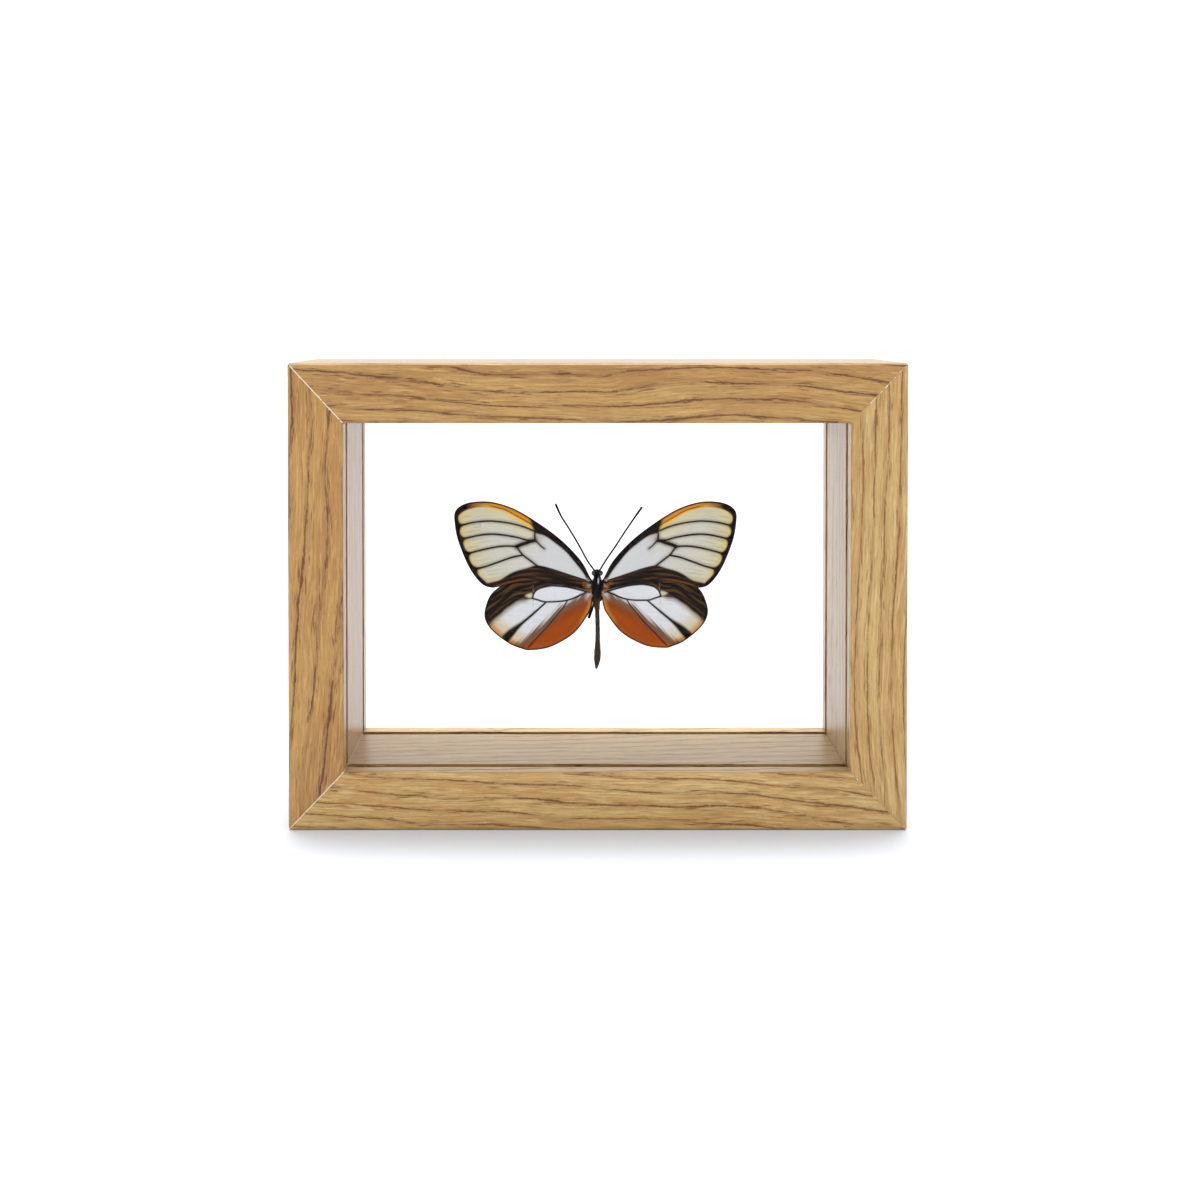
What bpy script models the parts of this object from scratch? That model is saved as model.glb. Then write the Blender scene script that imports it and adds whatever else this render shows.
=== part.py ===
"""A spread butterfly between two panes of glass, in a deep oak frame, at real size.

Metres, +Z up. The frame's front faces -Y. The origin is the middle of the frame's footprint, on the
surface that the frame stands on.
"""

import math

import bmesh
import bpy
import numpy as np
from mathutils import Matrix, Vector

MM = 0.001

# The frame's outside, and the width of each rail as the front shows it.
FRAME_WIDTH = 140.0 * MM
FRAME_HEIGHT = 105.7 * MM
FRAME_DEPTH = 40.0 * MM
FACE_TOP = 13.6 * MM
FACE_BOTTOM = 13.2 * MM
FACE_LEFT = 12.6 * MM
FACE_RIGHT = 13.0 * MM

# The rails' section: rounded outer edges, eased inner edges and two grooves for the glass.
# The frame's four corners are rounded too, as the front shows them.
CORNER_ROUND = 0.8 * MM
OUTER_ROUND = 1.0 * MM
INNER_ROUND = 0.4 * MM
LIP = 4.3 * MM
GROOVE_WIDTH = 2.6 * MM
GROOVE_DEPTH = 3.0 * MM
ARC_STEPS = 5

OPENING_LEFT = -FRAME_WIDTH / 2 + FACE_LEFT
OPENING_RIGHT = FRAME_WIDTH / 2 - FACE_RIGHT
OPENING_TOP = FRAME_HEIGHT - FACE_TOP

# Each rail: its face width, its length, the middle of its outer face, and its turn about Y in degrees.
RAILS = {
    "rail_top": (FACE_TOP, FRAME_WIDTH, (0, 0, FRAME_HEIGHT), 90),
    "rail_bottom": (FACE_BOTTOM, FRAME_WIDTH, (0, 0, 0), -90),
    "rail_left": (FACE_LEFT, FRAME_HEIGHT, (-FRAME_WIDTH / 2, 0, FRAME_HEIGHT / 2), 0),
    "rail_right": (FACE_RIGHT, FRAME_HEIGHT, (FRAME_WIDTH / 2, 0, FRAME_HEIGHT / 2), 180),
}
# Each corner: the outer and the inner end of its mitre, seen from the front.
MITRES = {
    ("top", "left"): ((-FRAME_WIDTH / 2, FRAME_HEIGHT), (OPENING_LEFT, OPENING_TOP)),
    ("top", "right"): ((FRAME_WIDTH / 2, FRAME_HEIGHT), (OPENING_RIGHT, OPENING_TOP)),
    ("bottom", "left"): ((-FRAME_WIDTH / 2, 0.0), (OPENING_LEFT, FACE_BOTTOM)),
    ("bottom", "right"): ((FRAME_WIDTH / 2, 0.0), (OPENING_RIGHT, FACE_BOTTOM)),
}

# Touching pieces keep this gap.
GAP = 0.3 * MM
GLASS_THICKNESS = GROOVE_WIDTH - 2 * GAP

# The butterfly's middle, and how far its parts stand in front of or behind the body's axis.
BODY_CENTRE = Vector((0.3 * MM, 10.0 * MM, 49.9 * MM))
WINGS_IN_FRONT = 0.5 * MM
WING_THICKNESS = 0.2 * MM
FOREWING_OVER_HINDWING = 0.55 * MM
TIP_DROOP = 0.9 * MM
WING_LENGTH = 35.0 * MM

# The right wings are spread a little less wide, and the right hindwing sits a little higher.
RIGHT_SPREAD = 0.975
RIGHT_HINDWING_LIFT = math.radians(2.0)

# Wing outlines in millimetres, outwards from the body's axis and up from its middle: from the upper
# root round the tip to the lower root. A wing's grid is closed at the share of the outline given last.
FOREWING_OUTLINE = [
    (1.7, 2.1), (4.0, 6.6), (8.7, 11.6), (14.3, 15.8), (20.2, 19.3), (25.7, 21.0), (30.3, 21.0),
    (33.2, 20.1), (34.7, 18.6), (34.9, 16.6), (34.4, 13.0), (33.4, 9.8), (31.7, 5.8), (29.7, 2.6),
    (27.8, 0.7), (25.9, 0.1), (24.2, 0.3), (21.4, 1.1), (17.0, 1.8), (10.4, 1.2), (1.7, 0.5),
]
HINDWING_OUTLINE = [
    (1.7, 0.0), (8.0, 2.2), (15.0, 3.0), (21.0, 2.0), (24.5, -0.2), (26.1, -1.8), (27.1, -4.0),
    (27.6, -6.7), (26.9, -9.0), (25.0, -11.2), (21.4, -13.8), (18.6, -14.9), (16.3, -15.3),
    (11.3, -14.4), (5.7, -11.1), (2.2, -6.5), (1.45, -4.2), (1.7, -2.1),
]
FOREWING_TIP, HINDWING_TIP = 0.48, 0.44
WING_GRID = (40, 10)

# The body, in millimetres from its middle: places along its length are up (+) or down (-).
THORAX_UP, THORAX_RADII = 0.4, (1.35, 1.6, 2.7)
HEAD_UP, HEAD_RADII = 3.3, (1.0, 1.05, 1.1)
EYE_OUT, EYE_FORWARD, EYE_UP, EYE_RADIUS = 0.85, 0.2, 3.4, 0.62
ABDOMEN_PROFILE = [
    (0.0, -1.0), (0.5, -1.4), (0.46, -2.9), (0.42, -5.0), (0.42, -9.0), (0.46, -11.5),
    (0.52, -14.5), (0.78, -16.6), (0.62, -18.2), (0.3, -19.2), (0.0, -19.5),
]
ABDOMEN_DEEPER = 1.6
ABDOMEN_LEAN = math.radians(0.7)

# Legs, folded behind the body: outwards, backwards and up from its middle, in millimetres.
# The left hind leg is the one that shows, beside the abdomen.
LEG_RADIUS = 0.2
LEGS = {
    "middle_leg_left": [(-0.6, 0.7, 1.0), (-1.3, 1.9, 0.2), (-1.1, 2.1, -2.2), (-0.7, 2.1, -4.0)],
    "middle_leg_right": [(0.6, 0.7, 1.0), (1.3, 1.9, 0.2), (1.0, 2.1, -2.0), (0.8, 2.1, -3.6)],
    "hind_leg_left": [(-0.3, 0.8, -0.9), (-0.6, 1.8, -2.6), (-0.9, 1.5, -4.5), (-2.1, 1.1, -7.5)],
    "hind_leg_right": [(0.3, 0.8, -0.9), (0.5, 1.7, -2.6), (0.4, 1.6, -4.5), (0.1, 1.4, -7.5)],
}

# Antennae, in millimetres outwards and up from the body's middle, and how far they lean forwards.
ANTENNA_LEFT = [(0.95, 4.75), (2.4, 6.8), (4.0, 9.8), (5.6, 12.6), (7.1, 15.1), (8.8, 17.8), (10.2, 20.9)]
ANTENNA_RIGHT = [(0.8, 4.75), (2.2, 7.1), (4.3, 10.2), (6.8, 14.1), (9.0, 17.4), (10.9, 20.1)]
ANTENNA_FORWARD = 1.4
ANTENNA_RADIUS, CLUB_RADIUS = 0.14, 0.21
CLUB_FROM, CLUB_TO = 0.85, 0.95
ANTENNA_POINTS = 26

# The dab of glue behind the thorax, in millimetres.
DAB_RADIUS, DAB_ROUND = 0.7, 0.2


def clear_scene():
    """Removes what the file holds, so that the script can be run again."""
    for thing in list(bpy.data.objects):
        bpy.data.objects.remove(thing)


def new_collection(name):
    """A collection of the scene, made empty."""
    group = bpy.data.collections.new(name)
    bpy.context.scene.collection.children.link(group)
    return group


def linear(hex_colour):
    """An sRGB hex colour as linear red, green and blue."""
    shades = [int(hex_colour[i:i + 2], 16) / 255 for i in (0, 2, 4)]
    return [c / 12.92 if c <= 0.04045 else ((c + 0.055) / 1.055) ** 2.4 for c in shades]


def finish(name, hex_colour, roughness, transmission=0.0):
    """A plain material for one kind of piece."""
    made = bpy.data.materials.new(name)
    made.use_nodes = True
    shader = made.node_tree.nodes["Principled BSDF"]
    shader.inputs["Base Color"].default_value = (*linear(hex_colour), 1.0)
    shader.inputs["Roughness"].default_value = roughness
    shader.inputs["Metallic"].default_value = 0.0
    shader.inputs["Transmission Weight"].default_value = transmission
    return made


def keep(thing, group, made=None):
    """Puts an object in one collection only, with its material."""
    for other in list(thing.users_collection):
        other.objects.unlink(thing)
    group.objects.link(thing)
    if made:
        thing.data.materials.clear()
        thing.data.materials.append(made)
    return thing


def as_guide(thing, group):
    """An object that only shapes others: wire in the viewport, and left out of renders."""
    keep(thing, group)
    thing.hide_render = True
    thing.display_type = "WIRE"
    return thing


def combine(thing, operation, tool):
    """Cuts or joins with a live Boolean modifier."""
    step = thing.modifiers.new(f"{operation.lower()} {tool.name}", "BOOLEAN")
    step.operation = operation
    step.solver = "EXACT"
    step.object = tool


def shade_round(thing, degrees=40):
    """Smooth shading that keeps real edges sharp."""
    thing.data.shade_smooth()
    thing.data.set_sharp_from_angle(angle=math.radians(degrees))


def arc(centre, radius, start, end):
    """Points of an arc in a plane, between two angles in degrees."""
    angles = np.radians(np.linspace(start, end, ARC_STEPS + 1))
    return [(centre[0] + radius * math.cos(a), centre[1] + radius * math.sin(a)) for a in angles]


def smooth_curve(points, shares):
    """Points at the given shares of the length of a Catmull-Rom curve through a few points."""
    p = np.array(points, float)
    ends = np.vstack([2 * p[0] - p[1], p, 2 * p[-1] - p[-2]])
    t = np.linspace(0, 1, 24, endpoint=False)[:, None]
    pieces = []
    for a, b, c, d in zip(ends, ends[1:], ends[2:], ends[3:]):
        bend = 2 * a - 5 * b + 4 * c - d
        twist = 3 * b - a - 3 * c + d
        pieces.append(0.5 * (2 * b + (c - a) * t + bend * t ** 2 + twist * t ** 3))
    fine = np.vstack(pieces + [p[-1:]])
    along = np.concatenate([[0], np.cumsum(np.linalg.norm(np.diff(fine, axis=0), axis=1))])
    at = np.asarray(shares) * along[-1]
    return np.stack([np.interp(at, along, fine[:, k]) for k in range(p.shape[1])], axis=1)


def curve_to_mesh(curve_object):
    """A mesh object in the curve's place, with its caps welded to its sides."""
    depsgraph = bpy.context.evaluated_depsgraph_get()
    mesh = bpy.data.meshes.new_from_object(curve_object.evaluated_get(depsgraph))
    work = bmesh.new()
    work.from_mesh(mesh)
    bmesh.ops.remove_doubles(work, verts=work.verts, dist=0.001 * MM)
    work.to_mesh(mesh)
    work.free()
    name, place = curve_object.name, curve_object.matrix_world.copy()
    bpy.data.objects.remove(curve_object)
    made = bpy.data.objects.new(name, mesh)
    bpy.context.scene.collection.objects.link(made)
    made.matrix_world = place
    return made


def extruded_outline(name, points, length):
    """A prism of a flat outline, centred along its own Z."""
    data = bpy.data.curves.new(name, "CURVE")
    data.dimensions = "2D"
    data.fill_mode = "BOTH"
    data.extrude = length / 2
    line = data.splines.new("POLY")
    line.points.add(len(points) - 1)
    for place, (x, y) in zip(line.points, points):
        place.co = (x, y, 0, 1)
    line.use_cyclic_u = True
    return bpy.data.objects.new(name, data)


def tube(name, points, radii):
    """A round tube through points, with a radius for each, and filled ends."""
    data = bpy.data.curves.new(name, "CURVE")
    data.dimensions = "3D"
    data.bevel_depth = 1.0
    data.bevel_resolution = 2
    data.use_fill_caps = True
    line = data.splines.new("POLY")
    line.points.add(len(points) - 1)
    for place, point, radius in zip(line.points, points, radii):
        place.co = (*point, 1)
        place.radius = radius
    made = bpy.data.objects.new(name, data)
    bpy.context.scene.collection.objects.link(made)
    bpy.context.view_layer.update()
    return curve_to_mesh(made)


def turned(name, profile, steps):
    """A profile of radii and heights in millimetres, turned about its own Z."""
    data = bpy.data.meshes.new(name)
    points = [(radius * MM, 0, height * MM) for radius, height in profile]
    data.from_pydata(points, [(i, i + 1) for i in range(len(points) - 1)], [])
    made = bpy.data.objects.new(name, data)
    bpy.context.scene.collection.objects.link(made)
    screw = made.modifiers.new("turned", "SCREW")
    screw.steps = screw.render_steps = steps
    screw.use_merge_vertices = True
    screw.merge_threshold = 0.01 * MM
    return made


def stretch(sizes):
    """A matrix that stretches along the three axes."""
    return Matrix.Diagonal((*sizes, 1.0))


def ellipsoid(name, centre, radii, segments=20, rings=12):
    """A sphere primitive, stretched, with its size in its mesh."""
    bpy.ops.mesh.primitive_uv_sphere_add(segments=segments, ring_count=rings, radius=1.0)
    made = bpy.context.object
    made.name = name
    made.data.transform(stretch(radii))
    made.location = centre
    shade_round(made, 60)
    return made


def body_point(out, back, up):
    """A place given in millimetres from the body's middle."""
    return BODY_CENTRE + Vector((out, back, up)) * MM


def rail_section(face):
    """The section of a rail: distance from its outer face, and depth from front to back."""
    front, back = -FRAME_DEPTH / 2, FRAME_DEPTH / 2
    r, e = OUTER_ROUND, INNER_ROUND
    floor = face - GROOVE_DEPTH
    points = arc((r, front + r), r, 180, 270)
    points += arc((face - e, front + e), e, 270, 360)
    for start in (front + LIP, back - LIP - GROOVE_WIDTH):
        end = start + GROOVE_WIDTH
        points += [(face, start), (floor, start), (floor, end), (face, end)]
    points += arc((face - e, back - e), e, 0, 90)
    points += arc((r, back - r), r, 90, 180)
    return points


def mitre_cutter(name, outer, inner, rail_middle, group):
    """A block that cuts one rail half a gap short of a corner's mitre."""
    size = 2 * FRAME_DEPTH
    outer, inner = Vector(outer), Vector(inner)
    along = (inner - outer).normalized()
    across = Vector((-along.y, along.x))
    if across.dot(Vector(rail_middle) - outer) > 0:
        across = -across
    centre = (outer + inner) / 2 + across * (size / 2 - GAP / 2)
    bpy.ops.mesh.primitive_cube_add(size=size, location=(centre.x, 0, centre.y))
    block = bpy.context.object
    block.name = name
    block.rotation_euler.y = -math.atan2(along.y, along.x)
    return as_guide(block, group)


def corner_rounder(group):
    """A block round the whole frame, a hair larger than it, with its four corners rounded."""
    clear = 0.01 * MM
    r = CORNER_ROUND
    right, top = FRAME_WIDTH / 2 + clear, FRAME_HEIGHT / 2 + clear
    outline = []
    for x, z, start in ((right, top, 0), (-right, top, 90), (-right, -top, 180), (right, -top, 270)):
        middle = (x - math.copysign(r, x), z - math.copysign(r, z))
        outline += arc(middle, r, start, start + 90)
    blank = extruded_outline("corner_rounder", outline, 2 * FRAME_DEPTH)
    bpy.context.scene.collection.objects.link(blank)
    blank.location = (0, 0, FRAME_HEIGHT / 2)
    blank.rotation_euler.x = math.radians(90)
    bpy.context.view_layer.update()
    return as_guide(curve_to_mesh(blank), group)


def make_rail(name, rounder, made, parts, cutters):
    """One oak rail: its section drawn out along its length, then cut to its two mitres and rounded."""
    face, length, place, turn = RAILS[name]
    blank = extruded_outline(name, rail_section(face), length)
    bpy.context.scene.collection.objects.link(blank)
    blank.location = place
    blank.rotation_euler.y = math.radians(turn)
    bpy.context.view_layer.update()
    rail = keep(curve_to_mesh(blank), parts, made)
    shade_round(rail)
    side = name.removeprefix("rail_")
    for corner, (outer, inner) in MITRES.items():
        if side in corner:
            block_name = f"mitre_{corner[0]}_{corner[1]}_of_{side}"
            block = mitre_cutter(block_name, outer, inner, (place[0], place[2]), cutters)
            combine(rail, "DIFFERENCE", block)
    combine(rail, "INTERSECT", rounder)
    return rail


def make_pane(name, front, made, parts):
    """One pane of glass, reaching into the grooves on all four sides."""
    reach = GROOVE_DEPTH - GAP
    low = Vector((OPENING_LEFT - reach, front, FACE_BOTTOM - reach))
    high = Vector((OPENING_RIGHT + reach, front + GLASS_THICKNESS, OPENING_TOP + reach))
    bpy.ops.mesh.primitive_cube_add(size=1.0, location=(low + high) / 2)
    pane = bpy.context.object
    pane.name = name
    pane.data.transform(stretch(high - low))
    return keep(pane, parts, made)


def wing_depth(out):
    """How far behind the wings' plane a point lies: the tips droop backwards."""
    return TIP_DROOP * (out / WING_LENGTH) ** 2


def wing_grid(outline, tip):
    """A flat grid laid between the two halves of an outline, which meet at the tip."""
    across, deep = WING_GRID
    bpy.ops.mesh.primitive_grid_add(x_subdivisions=across, y_subdivisions=deep, size=1.0)
    wing = bpy.context.object
    co = np.empty(len(wing.data.vertices) * 3)
    wing.data.vertices.foreach_get("co", co)
    share = np.clip(co.reshape(-1, 3) + 0.5, 0, 1)
    upper = smooth_curve(outline, share[:, 0] * tip)
    lower = smooth_curve(outline, 1 - share[:, 0] * (1 - tip))
    return wing, upper + (lower - upper) * share[:, 1:2]


def make_wing(name, outline, tip, side, behind, made, parts, lift=0.0):
    """A wing: a grid of its outline, placed on its side of the body and given its thickness."""
    wing, flat = wing_grid(outline, tip)
    wing.name = name
    flat[:, 0] *= 1.0 if side < 0 else RIGHT_SPREAD
    turn = np.array([[math.cos(lift), math.sin(lift)], [-math.sin(lift), math.cos(lift)]])
    out, up = (flat @ turn * MM).T
    place = np.stack([side * out, wing_depth(out) - WINGS_IN_FRONT + behind, up], axis=1)
    wing.data.vertices.foreach_set("co", (place + np.array(BODY_CENTRE)).ravel())
    work = bmesh.new()
    work.from_mesh(wing.data)
    bmesh.ops.remove_doubles(work, verts=work.verts, dist=0.01 * MM)
    bmesh.ops.recalc_face_normals(work, faces=work.faces)
    work.to_mesh(wing.data)
    work.free()
    shell = wing.modifiers.new("thickness", "SOLIDIFY")
    shell.thickness = WING_THICKNESS
    shell.offset = 0.0
    return keep(wing, parts, made)


def make_abdomen(guides):
    """The slender abdomen, turned about its own length and flattened from side to side."""
    abdomen = turned("abdomen", ABDOMEN_PROFILE, 16)
    abdomen.scale.y = ABDOMEN_DEEPER
    abdomen.rotation_euler.y = ABDOMEN_LEAN
    abdomen.location = BODY_CENTRE
    return as_guide(abdomen, guides)


def make_body(made, parts, guides):
    """Head, eyes, thorax, abdomen and folded legs, joined into one solid."""
    body = ellipsoid("body", body_point(0, 0, THORAX_UP), Vector(THORAX_RADII) * MM)
    keep(body, parts, made)
    forms = [ellipsoid("head", body_point(0, -0.1, HEAD_UP), Vector(HEAD_RADII) * MM)]
    for side, word in ((-1, "left"), (1, "right")):
        centre = body_point(side * EYE_OUT, -EYE_FORWARD, EYE_UP)
        forms.append(ellipsoid(f"eye_{word}", centre, [EYE_RADIUS * MM] * 3, 14, 8))
    for name, route in LEGS.items():
        points = [body_point(*place) for place in route]
        forms.append(tube(name, points, [LEG_RADIUS * MM] * len(points)))
    forms = [as_guide(form, guides) for form in forms] + [make_abdomen(guides)]
    for form in forms:
        combine(body, "UNION", form)
    return body


def make_antenna(name, route, side, made, parts):
    """A thread-like feeler with a slightly thicker tip."""
    share = np.linspace(0, 1, ANTENNA_POINTS)
    line = smooth_curve(route, share)
    points = [
        body_point(side * out, -WINGS_IN_FRONT / MM - ANTENNA_FORWARD * s, up)
        for (out, up), s in zip(line, share)
    ]
    club = np.clip((share - CLUB_FROM) / (CLUB_TO - CLUB_FROM), 0, 1)
    radii = (ANTENNA_RADIUS + (CLUB_RADIUS - ANTENNA_RADIUS) * club) * MM
    feeler = keep(tube(name, points, radii), parts, made)
    shade_round(feeler, 60)
    return feeler


def make_dab(front, back, made, parts):
    """A small round dab with a rounded edge, between two depths, behind the thorax."""
    depth = (back - front) / MM
    edge = arc((DAB_RADIUS - DAB_ROUND, depth - DAB_ROUND), DAB_ROUND, 90, 0)
    dab = turned("glue_dab", [(0.0, depth), *edge, (DAB_RADIUS, 0.0), (0.0, 0.0)], 24)
    dab.rotation_euler.x = math.radians(90)
    dab.location = (BODY_CENTRE.x, back, BODY_CENTRE.z + THORAX_UP * MM)
    return keep(dab, parts, made)


def main():
    clear_scene()
    parts = new_collection("framed_butterfly_specimen")
    cutters = new_collection("cutters")

    oak = finish("oiled_oak", "b88d55", 0.55)
    glass = finish("clear_glass", "ffffff", 0.02, transmission=1.0)
    rounder = corner_rounder(cutters)
    for name in RAILS:
        make_rail(name, rounder, oak, parts, cutters)
    front_pane = -FRAME_DEPTH / 2 + LIP + GAP
    rear_pane = FRAME_DEPTH / 2 - LIP - GAP - GLASS_THICKNESS
    make_pane("glass_front", front_pane, glass, parts)
    make_pane("glass_rear", rear_pane, glass, parts)

    chitin = finish("black_scaled_body", "2a221d", 0.5)
    make_body(chitin, parts, cutters)
    pale = finish("pale_wing_scales", "cfc9a6", 0.6)
    for side, word, lift in ((-1, "left", 0.0), (1, "right", RIGHT_HINDWING_LIFT)):
        make_wing(f"forewing_{word}", FOREWING_OUTLINE, FOREWING_TIP, side, 0.0, pale, parts)
        make_wing(f"hindwing_{word}", HINDWING_OUTLINE, HINDWING_TIP, side,
                  FOREWING_OVER_HINDWING, pale, parts, lift)
    thread = finish("black_antenna", "1e1a18", 0.5)
    make_antenna("antenna_left", ANTENNA_LEFT, -1, thread, parts)
    make_antenna("antenna_right", ANTENNA_RIGHT, 1, thread, parts)
    dab = finish("clear_glue", "f4f0e6", 0.1, transmission=0.9)
    thorax_back = BODY_CENTRE.y + THORAX_RADII[1] * MM
    make_dab(thorax_back + GAP, rear_pane - GAP, dab, parts)


main()
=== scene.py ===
# %% [markdown]
# # A butterfly between two panes of glass, in a deep oak frame
#
# The construction comes packed: four mitred oak rails with two grooves, two panes that sit in the
# grooves, and the plain solids of a spread butterfly. This lesson gives each of them its finish, and
# makes again, as fine surfaces, what the plain solids only stand for: scaled wings with veins, a furred
# body, feelers, the glue in the joints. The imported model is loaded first, because every piece is
# measured from it.

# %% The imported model
import math

import bmesh
import bpy
import numpy as np
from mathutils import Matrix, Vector


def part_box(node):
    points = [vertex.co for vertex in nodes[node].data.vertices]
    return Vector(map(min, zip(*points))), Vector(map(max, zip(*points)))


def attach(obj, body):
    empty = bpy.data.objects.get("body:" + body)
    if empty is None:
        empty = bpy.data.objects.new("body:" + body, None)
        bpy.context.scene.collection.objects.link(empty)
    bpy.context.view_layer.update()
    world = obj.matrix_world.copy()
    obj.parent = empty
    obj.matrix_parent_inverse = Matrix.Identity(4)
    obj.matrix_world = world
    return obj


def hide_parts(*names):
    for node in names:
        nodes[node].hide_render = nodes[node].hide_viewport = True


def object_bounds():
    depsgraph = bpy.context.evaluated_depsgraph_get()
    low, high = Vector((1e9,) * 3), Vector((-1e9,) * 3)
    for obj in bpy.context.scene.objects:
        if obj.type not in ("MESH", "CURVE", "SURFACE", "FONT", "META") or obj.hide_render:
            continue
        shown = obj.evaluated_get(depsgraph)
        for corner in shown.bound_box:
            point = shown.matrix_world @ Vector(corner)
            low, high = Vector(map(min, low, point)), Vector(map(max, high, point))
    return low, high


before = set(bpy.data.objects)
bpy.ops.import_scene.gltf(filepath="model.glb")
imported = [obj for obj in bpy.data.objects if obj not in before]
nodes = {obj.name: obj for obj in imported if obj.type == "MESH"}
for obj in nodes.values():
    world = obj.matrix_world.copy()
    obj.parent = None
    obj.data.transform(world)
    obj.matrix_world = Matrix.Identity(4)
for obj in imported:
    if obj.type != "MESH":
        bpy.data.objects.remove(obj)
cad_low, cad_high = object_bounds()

MM = 0.001
print("packed pieces:", ", ".join(sorted(nodes)))
print("outside, mm:", [round(side / MM, 1) for side in cad_high - cad_low])

# %% [markdown]
# ## Colours and nodes
#
# Colours are written as a designer picks them, in sRGB hex. Blender mixes light in linear values, so one
# function turns the one into the other. Node trees are long to write by hand, so one small function adds
# a node, sets it up, and returns the output that the next node needs.

# %% Colours and nodes
def linear(hex_colour):
    """Red, green and blue of an sRGB hex colour, with the display curve taken off."""
    shade = np.array([int(hex_colour[i:i + 2], 16) for i in (0, 2, 4)]) / 255
    return np.where(shade <= 0.04045, shade / 12.92, ((shade + 0.055) / 1.055) ** 2.4)


def rgba(hex_colour):
    """The same colour with an alpha of one, as a colour socket takes it."""
    return (*linear(hex_colour), 1.0)


def add(tree, kind, inputs=None, out=0, **settings):
    """Adds a shader node with its settings. Each input is a value or another node's output. Returns one
    output."""
    node = tree.nodes.new("ShaderNode" + kind)
    for name, value in settings.items():
        setattr(node, name, value)
    for key, value in (inputs or {}).items():
        if isinstance(value, bpy.types.NodeSocket):
            tree.links.new(value, node.inputs[key])
        else:
            node.inputs[key].default_value = value
    return node.outputs[out]


def new_material(name, **values):
    """A material with one Principled BSDF, whose sockets are set by name. Returns both."""
    made = bpy.data.materials.new(name)
    made.use_nodes = True
    shader = made.node_tree.nodes["Principled BSDF"]
    for socket, value in values.items():
        shader.inputs[socket.replace("_", " ")].default_value = value
    return made, shader


def feed(shader, **sockets):
    """Links outputs into the sockets of a shader, by name."""
    for socket, output in sockets.items():
        shader.id_data.links.new(output, shader.inputs[socket.replace("_", " ")])


print("linear value of a mid grey:", linear("808080").round(3))

# %% [markdown]
# ## The camera
#
# The photograph looks straight at the front, from a little above the frame's top, with a long lens. The
# front face isn't wedge-shaped, so the sensor was nearly upright. Three measures in the photograph fix
# the camera: the frame's outer edges give the scale, the point where the receding edges meet gives the
# line straight ahead, and how far the rear edges shrink gives the distance. The outer edges are rounded,
# so their outline lies one rounding behind the front face. The picture is cropped off centre, which a
# lens shift repeats. A pitch of one degree keeps that shift small.

# %% The camera
IMAGE_SIZE = 1200
LEFT_EDGE_X, RIGHT_EDGE_X, BOTTOM_EDGE_Y = 287.3, 908.5, 831.8
AHEAD_X, AHEAD_Y = 570.0, 322.0
DISTANCE, OUTER_ROUND = 355 * MM, 1.0 * MM
PITCH = math.radians(1.0)
SENSOR = 36.0
NEAR_CLIP, FAR_CLIP = 0.01, 20.0

outline_y = cad_low.y + OUTER_ROUND
mm_per_pixel = (cad_high.x - cad_low.x) / (RIGHT_EDGE_X - LEFT_EDGE_X)
focal_pixels = DISTANCE / mm_per_pixel
lens = bpy.data.cameras.new("camera")
lens.sensor_width = SENSOR
lens.lens = SENSOR * focal_pixels / IMAGE_SIZE
lens.shift_x = (IMAGE_SIZE / 2 - AHEAD_X) / IMAGE_SIZE
lens.shift_y = (AHEAD_Y + focal_pixels * math.tan(PITCH) - IMAGE_SIZE / 2) / IMAGE_SIZE
lens.clip_start, lens.clip_end = NEAR_CLIP, FAR_CLIP
camera = bpy.data.objects.new("camera", lens)
camera.location = (
    cad_low.x + (AHEAD_X - LEFT_EDGE_X) * mm_per_pixel,
    outline_y - DISTANCE,
    (BOTTOM_EDGE_Y - AHEAD_Y) * mm_per_pixel,
)
camera.rotation_euler = (math.pi / 2 - PITCH, 0, 0)
bpy.context.scene.collection.objects.link(camera)
bpy.context.scene.camera = camera
print("lens, mm:", round(lens.lens, 1), "height, mm:", round(camera.location.z / MM, 1))

# %% [markdown]
# ## Light and floor
#
# The photograph is bright and white all round, with a soft shadow on the floor just in front of the
# frame. A white world lights every side, a little more strongly from behind. A wide soft lamp nearly
# overhead, a little to the back, makes the floor brighter than the frame's front and leaves the floor just
# before the frame in its shade. The view transform is Standard, because it leaves white as white.

# %% Light and floor
WORLD_STRENGTH, REAR_STRENGTH = 1.05, 1.25
OVERHEAD_STRENGTH, OVERHEAD_WIDTH, OVERHEAD_TILT = 2.3, math.radians(17), math.radians(9)
FLOOR_RADIUS, FLOOR_SIDES, FLOOR_DROP = 3.0, 64, 0.02 * MM

scene = bpy.context.scene
scene.view_settings.view_transform = "Standard"
world = bpy.data.worlds.new("white_studio")
world.use_nodes = True
world_tree = world.node_tree
background = world_tree.nodes["Background"]
background.inputs["Color"].default_value = (1, 1, 1, 1)
to_rear = add(world_tree, "SeparateXYZ", {0: add(world_tree, "TexCoord")}, out=1)
feed(background, Strength=add(world_tree, "MapRange", {
    0: to_rear, 1: 0.0, 2: 0.7, 3: WORLD_STRENGTH, 4: REAR_STRENGTH}, interpolation_type="SMOOTHSTEP"))
scene.world = world

lamp_data = bpy.data.lights.new("overhead_softbox", "SUN")
lamp_data.angle = OVERHEAD_WIDTH
lamp_data.energy = OVERHEAD_STRENGTH
lamp = bpy.data.objects.new("overhead_softbox", lamp_data)
lamp.rotation_euler = (-OVERHEAD_TILT, 0, 0)
scene.collection.objects.link(lamp)

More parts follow.
